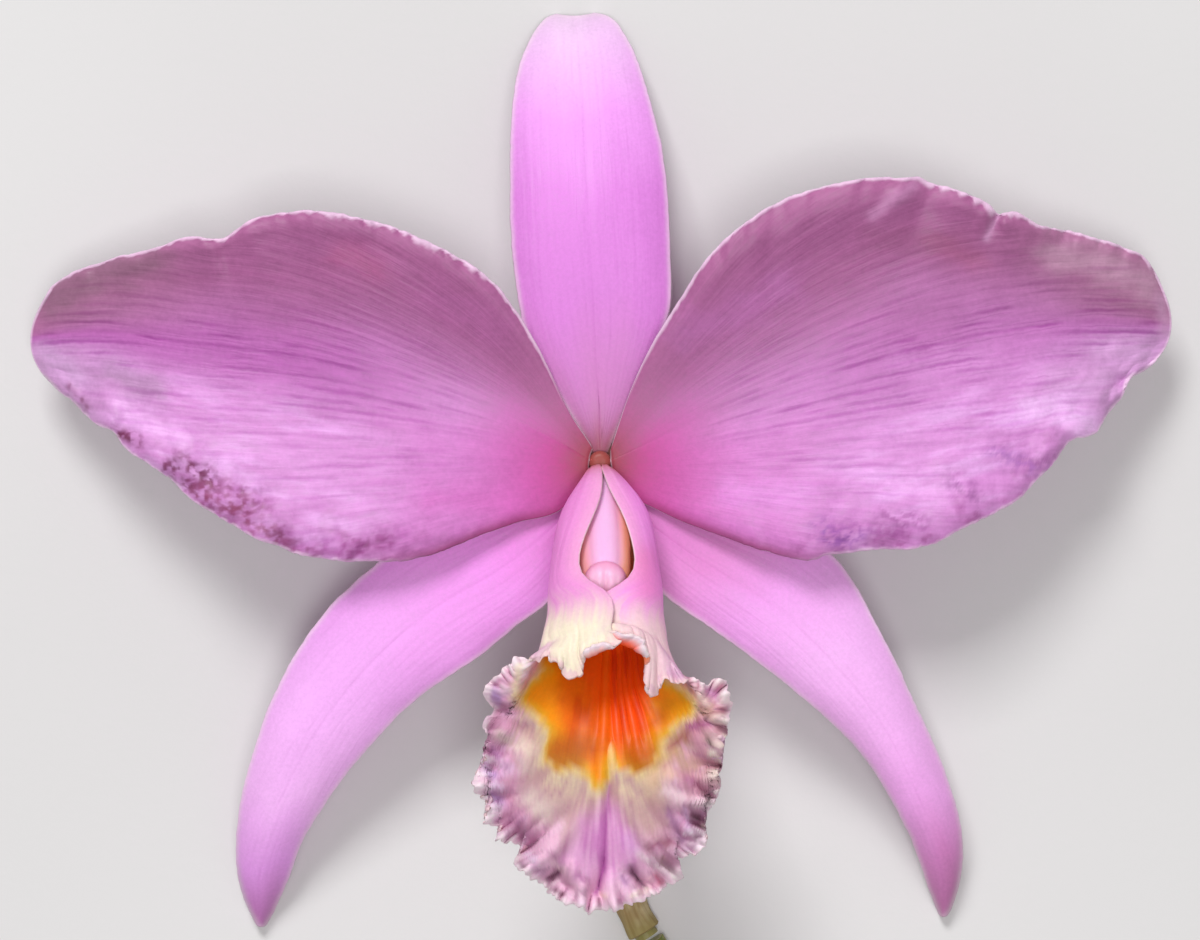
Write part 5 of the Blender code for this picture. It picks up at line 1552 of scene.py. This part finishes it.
def hoops(centres, radii, sides, shape=None, upright=0):
    """Rings round a centre line; shape(i, angles) scales each ring's radius."""
    tangents = np.gradient(centres, axis=0)
    if upright:
        tangents[:upright] = (0.0, 0.0, -1.0)
    rings = []
    a = np.linspace(0, 2 * math.pi, sides, endpoint=False)
    for i, (centre, tangent, radius) in enumerate(zip(centres, tangents, radii)):
        tangent = tangent / np.linalg.norm(tangent)
        side = np.array([1.0, 0.0, 0.0])
        side = side - tangent * side.dot(tangent)
        side /= np.linalg.norm(side)
        other = np.cross(tangent, side)
        r = radius * (1 if shape is None else shape(i, a))
        rings.append(
            centre + (r * np.cos(a))[:, None] * side + (r * np.sin(a))[:, None] * other
        )
    return np.stack(rings), a


def stalk(stalk_material, stem_material, bract_material):
    path = stem_path(600)
    length = np.concatenate(
        [[0.0], np.cumsum(np.linalg.norm(np.diff(path, axis=0), axis=1))]
    )
    split = 0.84 * length[-1]

    def part_of(low, high, count):
        at = np.linspace(low, high, count)
        return np.stack([np.interp(at, length, path[:, i]) for i in range(3)], -1), at

    # Ovary and pedicel, with the ovary's end standing up between the tepals.
    sides = 84
    centres, at = part_of(0.0, split, 190)
    swell = ease(at, 0, 6) * (1 - ease(at, 20, 42))
    radii = PEDICEL_RADIUS + (OVARY_RADIUS - PEDICEL_RADIUS) * swell
    radii = radii + 1.6 * (1 - ease(at, 0, 3.5)) + 0.3 * ease(at, split - 4, split)
    rib = 0.075 * ease(at, 1.5, 6) * (1 - ease(at, 22, 42))
    boss = np.array(
        [
            (0, 0, 0.48), (0, 0, 0.46), (0, 0, 0.40), (0, 0, 0.24), (0, 0, -0.05),
            (0, 0, -0.40), (0, 0, -0.52), (0, 0, -0.60), (0, 0, -1.2),
            (0, 0, OVARY_TOP + 0.02),
        ]
    )
    around = np.array([0.25, 0.62, 0.92, 1.16, 1.33, 1.38, 1.28, 0.92, 0.90, 0.95])
    centres = np.concatenate([boss, lowered(centres, radii)])
    radii = np.concatenate([around, radii])
    rib = np.concatenate([np.zeros(len(boss)), rib])
    at = np.concatenate([np.linspace(-2, -0.1, len(boss)), at])

    def ribbed(i, a):
        wave = np.cos(6 * a + math.pi)
        fine = 0.012 * noise(a * 5, at[i] / 6, 101) + 0.006 * noise(a * 14, at[i] / 2, 102)
        return 1 + rib[i] * (wave - 1) - 0.02 * (rib[i] > 0.02) * np.exp(
            -((np.sin(3 * a) / 0.12) ** 2)
        ) + fine * (at[i] > 0)

    rings, a = hoops(centres, radii, sides, ribbed, upright=len(boss) + 2)
    where = at[:, None] + 0 * a[None]
    groove = 0.5 - 0.5 * np.cos(6 * a + math.pi)[None] + 0 * where
    green = mix(tone(176, 176, 96), tone(132, 140, 64), ease(groove, 0.2, 0.9))
    tint = mix(green, tone(150, 142, 84), ease(where, 30, 55))
    blush = layered(a[None] * 1.3 + 0 * where, where / 7, 103, 2)
    tint = mix(tint, tone(170, 112, 120), 0.7 * ease(blush + (1 - ease(where, 4, 30)), 0.5, 1.4))
    tint = mix(tint, tone(176, 104, 96), 0.85 * (1 - ease(where, 0.5, 4)))
    tint = mix(tint, tone(158, 70, 66), 0.95 * (1 - ease(where, -0.6, 0.4)))
    piece = tube(
        "ovary_and_stalk", rings,
        threads(tint, np.abs(a - math.pi)[None] * 4 + 0 * where, where, 4.4, 0.5, 0.25), 60,
    )
    adopt(piece, "ovary_pedicel", stalk_material)

    # Cut length of peduncle: rounded rim, then rings across the cut face.
    centres, at = part_of(split + 0.7, length[-1], 90)
    radii = PEDUNCLE_RADIUS + 0.3 * (1 - ease(at, split, split + 3.5)) + 0 * at
    radii = radii + 0.06 * np.exp(-(((at - split - 1.8) / 0.35) ** 2))
    middle = lowered(centres, radii)
    forward = middle[-1] - middle[-2]
    forward /= np.linalg.norm(forward)
    rings, a = hoops(
        middle, radii, 72,
        lambda i, a: 1 + 0.012 * noise(a * 4, at[i] / 5, 111) + 0.008 * np.cos(9 * a),
    )
    ends, fractions = [], []
    for share, sink in ((0.97, 0.03), (0.93, 0.05), (0.86, 0.01), (0.72, -0.03), (0.5, -0.05), (0.25, -0.06), (0.08, -0.06)):
        ends.append(middle[-1] + (rings[-1] - middle[-1]) * share + forward * sink)
        fractions.append(share)
    start = []
    for share in (0.1, 0.4, 0.7, 0.92):
        start.append(middle[0] + (rings[0] - middle[0]) * share)
    full = np.concatenate([np.stack(start), rings, np.stack(ends)])
    fraction = np.concatenate([[0.1, 0.4, 0.7, 0.92], np.ones(len(rings)), fractions])
    where = np.concatenate([np.full(4, at[0]), at, np.full(len(ends), at[-1])])
    where = where[:, None] + 0 * a[None]
    skin = mix(tone(112, 124, 52), tone(146, 150, 76), ease(layered(a[None] * 2 + 0 * where, where / 5, 113, 2), -0.5, 0.6))
    skin = mix(skin, tone(120, 92, 56), 0.5 * np.exp(-(((where - split - 1.8) / 0.5) ** 2)))
    cut = fraction[:, None] + 0 * where
    tint = mix(skin, tone(206, 208, 150), ease(0.985 - cut, 0, 0.05))
    tint = mix(tint, tone(176, 184, 112), ease(0.90 - cut, 0, 0.06))
    tint = mix(tint, tone(222, 220, 176), ease(0.80 - cut, 0, 0.15))
    tint = mix(tint, tone(176, 150, 96), 0.6 * np.exp(-(((cut - 0.95) / 0.02) ** 2)))
    piece = tube(
        "cut_stem", full,
        threads(
            tint, np.abs(a - math.pi)[None] * 4 + 0 * where, where, 5.5, 0.4,
            0.3 * (cut > 0.99),
        ), 55,
    )
    adopt(piece, "peduncle", stem_material)

    # Papery bract that clasps the pedicel's foot.
    count = 70
    centres, at = part_of(split - 1.0, split - 11.0, count)
    radii = PEDICEL_RADIUS + 0.3 * ease(at, split - 4, split)
    middle = lowered(centres, radii)
    grown = np.linspace(0, 1, count)
    wide = np.radians(np.interp(grown, [0, 0.3, 0.8, 1], [118, 100, 48, 9]))
    wide = smoothed(np.stack([wide, wide], 1), 3)[:, 0]
    tangents = np.gradient(middle, axis=0)
    tangents /= np.linalg.norm(tangents, axis=1, keepdims=True)
    side = np.cross(tangents, (0.0, 0.0, 1.0))
    side /= np.linalg.norm(side, axis=1, keepdims=True)
    across = np.linspace(-1, 1, 61)
    grid = np.empty((count, 61, 3))
    for j, share in enumerate(across):
        angle = wide * share
        crinkle = 0.07 * noise(share * 9, grown * 5, 121) + 0.10 * noise(
            share * 3, grown * 7, 122
        ) * abs(share) ** 3
        reach = radii + 0.55 + 0.9 * grown**2 + crinkle * ease(grown, 0, 0.1)
        grid[:, j] = (
            middle
            + side * (reach * np.sin(angle))[:, None]
            + np.array([0, 0, 1.0]) * (reach * np.cos(angle))[:, None]
        )
    g2 = grown[:, None] + 0 * across[None]
    s2 = across[None] + 0 * grown[:, None]
    tint = mix(tone(176, 152, 104), tone(206, 190, 146), ease(layered(s2 * 3, g2 * 4, 123, 3), -0.3, 0.5))
    tint = mix(tint, tone(126, 96, 60), 0.7 * ease(g2 + 0.15 * noise(s2 * 5, g2 * 5, 124), 0.7, 1.05))
    tint = mix(tint, tone(160, 150, 86), 0.6 * (1 - ease(g2, 0, 0.3)))
    thick = 0.40 * (1 - 0.55 * np.abs(s2) ** 6)
    piece = shell(
        "stalk_bract", grid, thick,
        threads(tint, s2 * 9, g2 * 10, 0.0, 0.35, 0.9),
        threads(tint * 0.9, s2 * 9, g2 * 10, 1.3, 0.35, 0.6),
        {"tint": tone(150, 120, 78), "veining": 0.0},
    )
    adopt(piece, "floral_bract", bract_material)


# ------------------------------------------------------------------- making

petal_tissue = tissue(
    "petal_tissue", veins=0.95, streaks=0.15, sparkle=0.14, mottle=0.10,
    vein_tint=(0.66, 0.36, 0.66), broad=0.44, grains=1700.0,
    glow=0.0,
)
sepal_tissue = tissue(
    "sepal_tissue", veins=0.6, streaks=0.025, sparkle=0.11, mottle=0.04, relief=0.6,
    glow=0.0,
)
lip_tissue = tissue(
    "lip_tissue", veins=0.8, streaks=0.05, sparkle=0.09, mottle=0.05,
    vein_tint=(0.74, 0.52, 0.70), relief=0.28, glow=0.12,
)
column_tissue = tissue(
    "column_tissue", veins=0.3, streaks=0.04, sparkle=0.03, mottle=0.04,
    rough=(0.30, 0.42), relief=0.3, glow=0.2,
)
stalk_tissue = tissue(
    "stalk_tissue", veins=0.6, streaks=0.12, sparkle=0.05, mottle=0.10,
    vein_tint=(0.6, 0.62, 0.45), rough=(0.34, 0.50), relief=0.6, glow=0.05,
)
stem_tissue = tissue(
    "stem_tissue", veins=0.6, streaks=0.12, sparkle=0.06, mottle=0.12,
    vein_tint=(0.6, 0.62, 0.45), rough=(0.34, 0.50), relief=0.6, glow=0.05,
)
bract_tissue = tissue(
    "bract_tissue", veins=1.0, streaks=0.18, sparkle=0.08, mottle=0.14,
    vein_tint=(0.66, 0.56, 0.44), rough=(0.60, 0.80), relief=1.2, glow=0.05,
)

LEFT_DRAWN = [
    ([(219, 242), (236, 292)], 7, -0.45, 0.0),
    ([(244, 226), (266, 282)], 11, 0.45, 0.0),
    ([(119, 438), (150, 421)], 6, -0.40, 0.0),
    ([(104, 426), (128, 404)], 7, 0.30, 0.0),
    ([(182, 490), (226, 462)], 9, -0.60, 0.0),
    ([(160, 470), (200, 440)], 8, 0.40, 0.0),
    ([(232, 522), (276, 500)], 10, -0.40, 0.0),
]
RIGHT_DRAWN = [
    ([(905, 178), (868, 246)], 9, 0.50, 0.0),
    ([(928, 182), (902, 262)], 12, -0.50, 0.0),
    ([(998, 215), (982, 246)], 5, -0.55, 0.0),
    ([(989, 207), (972, 240)], 7, 0.45, 0.0),
    ([(1034, 223), (1006, 262)], 10, 0.35, 0.0),
    ([(1064, 232), (1030, 262)], 9, -0.30, 0.0),
    ([(1128, 379), (1094, 386)], 6, -0.50, 0.0),
    ([(1136, 372), (1100, 366)], 9, 0.45, 0.0),
    ([(1110, 408), (1086, 402)], 8, -0.35, 0.0),
    ([(1086, 434), (1058, 410)], 9, 0.45, 0.0),
    ([(1040, 476), (1020, 452)], 8, -0.40, 0.0),
    ([(985, 516), (968, 482)], 9, -0.45, 0.0),
    ([(1010, 503), (994, 470)], 8, 0.35, 0.0),
    ([(890, 549), (850, 520)], 11, -0.40, 0.0),
]

# Patches laid on the petals' colour: painted shade in fold hollows and along the lower margins, painted
# highlights on fold crests, and changes of their own colour. Each is (line, width, strength, colour, how
# grainy).
LEFT_SHADED = [
    ([(50, 300), (100, 275), (156, 262)], 15, 0.65, tone(138, 100, 120), 0.0),
    ([(430, 300), (500, 330)], 20, 0.30, tone(190, 108, 172), 0.0),
    ([(300, 546), (350, 546), (400, 534)], 10, 0.52, tone(176, 84, 166), 0.3),
    ([(336, 252), (376, 266)], 13, 0.45, tone(180, 88, 138), 0.0),
    ([(48, 360), (80, 378)], 13, 0.50, tone(206, 166, 210), 0.0),
    ([(110, 372), (160, 392)], 13, 0.72, tone(178, 136, 176), 0.0),
    ([(124, 408), (150, 424), (180, 440)], 12, 0.60, tone(248, 192, 250), 0.0),
    ([(210, 438), (290, 462), (350, 500)], 12, 0.20, tone(240, 178, 240), 0.3),
    ([(430, 500), (512, 500)], 16, 0.45, tone(212, 106, 190), 0.0),
    ([(120, 434), (138, 442)], 6, 0.75, tone(128, 58, 100), 0.8),
    ([(180, 464), (214, 482)], 11, 0.64, tone(124, 58, 98), 0.8),
    ([(166, 466), (192, 484)], 8, 0.60, tone(128, 58, 100), 0.8),
    ([(204, 494), (240, 512)], 12, 0.62, tone(146, 66, 108), 0.8),
    ([(240, 514), (276, 536)], 12, 0.55, tone(150, 72, 114), 0.8),
    ([(276, 540), (312, 554)], 9, 0.45, tone(146, 72, 118), 0.8),
    ([(232, 486), (262, 506)], 8, 0.40, tone(146, 72, 118), 0.8),
    ([(350, 548), (384, 542)], 9, 0.60, tone(146, 62, 128), 0.6),
    ([(84, 398), (88, 406)], 4, 0.5, tone(128, 58, 100), 0.5),
    ([(70, 386), (76, 392)], 3.5, 0.5, tone(128, 58, 100), 0.5),
]
RIGHT_SHADED = [
    ([(914, 187), (888, 202), (872, 214)], 6, 0.55, tone(206, 146, 192), 0.0),
    ([(996, 217), (986, 236)], 4, 0.60, tone(218, 166, 208), 0.0),
    ([(936, 244), (974, 260)], 13, 0.40, tone(182, 98, 138), 0.0),
    ([(1054, 254), (1100, 264), (1148, 284)], 18, 0.70, tone(196, 152, 178), 0.0),
    ([(690, 330), (730, 320), (780, 290)], 22, 0.35, tone(196, 118, 190), 0.0),
    ([(900, 366), (980, 362)], 18, 0.30, tone(222, 156, 220), 0.0),
    ([(1050, 384), (1104, 386)], 16, 0.35, tone(232, 184, 232), 0.0),
    ([(730, 494), (800, 496)], 16, 0.30, tone(244, 164, 246), 0.0),
    ([(820, 528), (900, 532)], 10, 0.50, tone(170, 84, 162), 0.3),
    ([(880, 238), (960, 246)], 18, 0.40, tone(146, 80, 120), 0.0),
    ([(1160, 300), (1164, 330)], 8, 0.50, tone(210, 164, 200), 0.0),
    ([(1100, 350), (1140, 352)], 13, 0.50, tone(228, 176, 228), 0.0),
    ([(1027, 408), (1060, 412), (1084, 428)], 14, 0.60, tone(246, 198, 250), 0.2),
    ([(873, 478), (945, 492)], 11, 0.45, tone(244, 184, 246), 0.3),
    ([(995, 452), (1045, 474)], 10, 0.50, tone(176, 112, 186), 0.9),
    ([(950, 484), (976, 496)], 9, 0.50, tone(172, 106, 170), 0.9),
    ([(820, 532), (856, 540)], 11, 0.55, tone(152, 86, 170), 0.8),
    ([(882, 518), (920, 520)], 9, 0.50, tone(166, 92, 160), 0.9),
    ([(1104, 396), (1116, 412)], 8, 0.45, tone(182, 128, 180), 0.4),
    ([(1040, 462), (1056, 452)], 6, 0.45, tone(150, 84, 146), 0.7),
]

petal(
    "left_petal", "petal_left", PETAL_LEFT_UPPER, PETAL_LEFT_MID, PETAL_LEFT_LOWER,
    0.4, (0.7, 1.0), (0.22, 0.28, 0.60, 0.66), (0.26, 0.36, 0.54, 0.62), LEFT_DRAWN,
    LEFT_SHADED, 0.68, 0.9, 201, petal_tissue,
)
petal(
    "right_petal", "petal_right", PETAL_RIGHT_UPPER, PETAL_RIGHT_MID,
    PETAL_RIGHT_LOWER, 1.7, (0.9, 1.0), (0.62, 0.70, 0.94, 1.0), (0.60, 0.66, 0.76, 0.82),
    RIGHT_DRAWN, RIGHT_SHADED, 0.36, 0.7, 301, petal_tissue,
)
sepal(
    "upper_sepal", "dorsal_sepal", DORSAL_LEFT, DORSAL_MID, DORSAL_RIGHT,
    [
        (0.0, tone(192, 112, 160)), (0.08, tone(204, 128, 188)),
        (0.35, tone(218, 129, 217)), (0.58, tone(224, 132, 224)),
        (0.76, tone(238, 156, 240)), (0.93, tone(244, 196, 246)),
        (1.0, tone(242, 206, 242)),
    ],
    [([(575, 16), (578, 60)], 4, -0.35, 0.0)], 401, sepal_tissue,
)
sepal(
    "left_sepal", "lateral_sepal_left", SEPAL_LEFT_OUTER, SEPAL_LEFT_MID,
    SEPAL_LEFT_INNER,
    [
        (0.0, tone(200, 110, 170)), (0.1, tone(222, 126, 206)),
        (0.25, tone(241, 151, 238)), (0.5, tone(244, 171, 246)),
        (0.62, tone(252, 184, 254)), (0.78, tone(254, 190, 255)),
        (0.9, tone(236, 160, 240)), (1.0, tone(196, 120, 186)),
    ],
    [], 501, sepal_tissue,
)
sepal(
    "right_sepal", "lateral_sepal_right", SEPAL_RIGHT_OUTER, SEPAL_RIGHT_MID,
    SEPAL_RIGHT_INNER,
    [
        (0.0, tone(196, 108, 160)), (0.1, tone(212, 122, 194)),
        (0.22, tone(226, 140, 210)), (0.35, tone(242, 165, 240)),
        (0.5, tone(250, 186, 250)), (0.68, tone(254, 186, 252)),
        (0.8, tone(255, 178, 250)), (0.91, tone(224, 140, 206)), (1.0, tone(186, 112, 162)),
    ],
    [([(948, 800), (900, 740)], 6, 0.25, 0.1)], 601, sepal_tissue,
)
lip(lip_tissue)
column(column_tissue)
anther_cap(column_tissue)
stalk(stalk_tissue, stem_tissue, bract_tissue)


def waxy():
    """Pollinia: smooth wax, a little uneven in colour."""
    g = Graph("pollinia_wax")
    place = g.place()
    patch = g.cloud(place, 900.0, 3.0)
    grain = g.cloud(place, 6000.0, 2.0)
    colour = g.blend(g.span(patch, 0.35, 0.65), tone(226, 178, 60), tone(244, 214, 112))
    height = g.math("MULTIPLY_ADD", grain, 0.006, g.math("MULTIPLY", patch, 0.03))
    return g.finish(
        colour, g.span(grain, 0.3, 0.7, 0.28, 0.42), g.relief(height),
        Specular_IOR_Level=0.5, Subsurface_Weight=0.2, Subsurface_Scale=0.0008,
    )


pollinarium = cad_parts["pollinarium"]
pollinarium.data.materials.clear()
pollinarium.data.materials.append(waxy())

# ------------------------------------------------------- floor, light, camera

floor_mesh = bpy.data.meshes.new("floor")
wide = 3.0
floor_mesh.from_pydata(
    [(-wide, -wide, 0), (wide, -wide, 0), (wide, wide, 0), (-wide, wide, 0)],
    [], [(0, 1, 2, 3)],
)
floor = bpy.data.objects.new("floor", floor_mesh)
bpy.context.scene.collection.objects.link(floor)
ground = Graph("floor_paper")
sweep = ground.cloud(ground.place(), 6.0, 3.0)
floor_mesh.materials.append(
    ground.finish(
        ground.blend(ground.span(sweep, 0.3, 0.7), (0.70, 0.69, 0.69), (0.74, 0.73, 0.73)),
        0.75, ground.relief(ground.math("MULTIPLY", ground.cloud(ground.place(), 900.0, 3.0), 0.02)),
        Specular_IOR_Level=0.3,
    )
)

scene = bpy.context.scene
world = bpy.data.worlds.new("studio")
world.use_nodes = True
world.node_tree.nodes["Background"].inputs["Color"].default_value = (1.0, 0.99, 0.985, 1.0)
world.node_tree.nodes["Background"].inputs["Strength"].default_value = 0.30
scene.world = world


def softbox(name, toward, distance, size, power, colour=(1.0, 1.0, 1.0)):
    """A square light that looks at the flower from a direction."""
    lamp = bpy.data.lights.new(name, "AREA")
    lamp.shape = "SQUARE"
    lamp.size = size
    lamp.energy = power
    lamp.color = colour
    box = bpy.data.objects.new(name, lamp)
    way = np.array(toward, float)
    way /= np.linalg.norm(way)
    box.location = way * distance + np.array([0, 0, 0.015])
    from mathutils import Vector

    box.rotation_mode = "QUATERNION"
    box.rotation_quaternion = Vector(way).to_track_quat("Z", "Y")
    bpy.context.scene.collection.objects.link(box)
    return box


softbox("key", (-0.20, 0.62, 0.76), 1.5, 0.50, 13.6)
softbox("front", (0.03, -0.14, 1.0), 1.6, 0.5, 8.6)

eye = bpy.data.cameras.new("eye")
eye.sensor_width = 36.0
eye.lens = 36.0 * VIEW_DISTANCE / (1200 * UNIT)
eye.clip_start, eye.clip_end = 0.01, 20.0
camera = bpy.data.objects.new("eye", eye)
camera.location = (
    JUNCTION[0] * MM,
    (JUNCTION[1] - (VIEW_CENTRE[1] - JUNCTION_V) * UNIT) * MM,
    (JUNCTION[2] + VIEW_DISTANCE) * MM,
)
scene.collection.objects.link(camera)
scene.camera = camera
scene.view_settings.view_transform = "Standard"
scene.view_settings.look = "None"
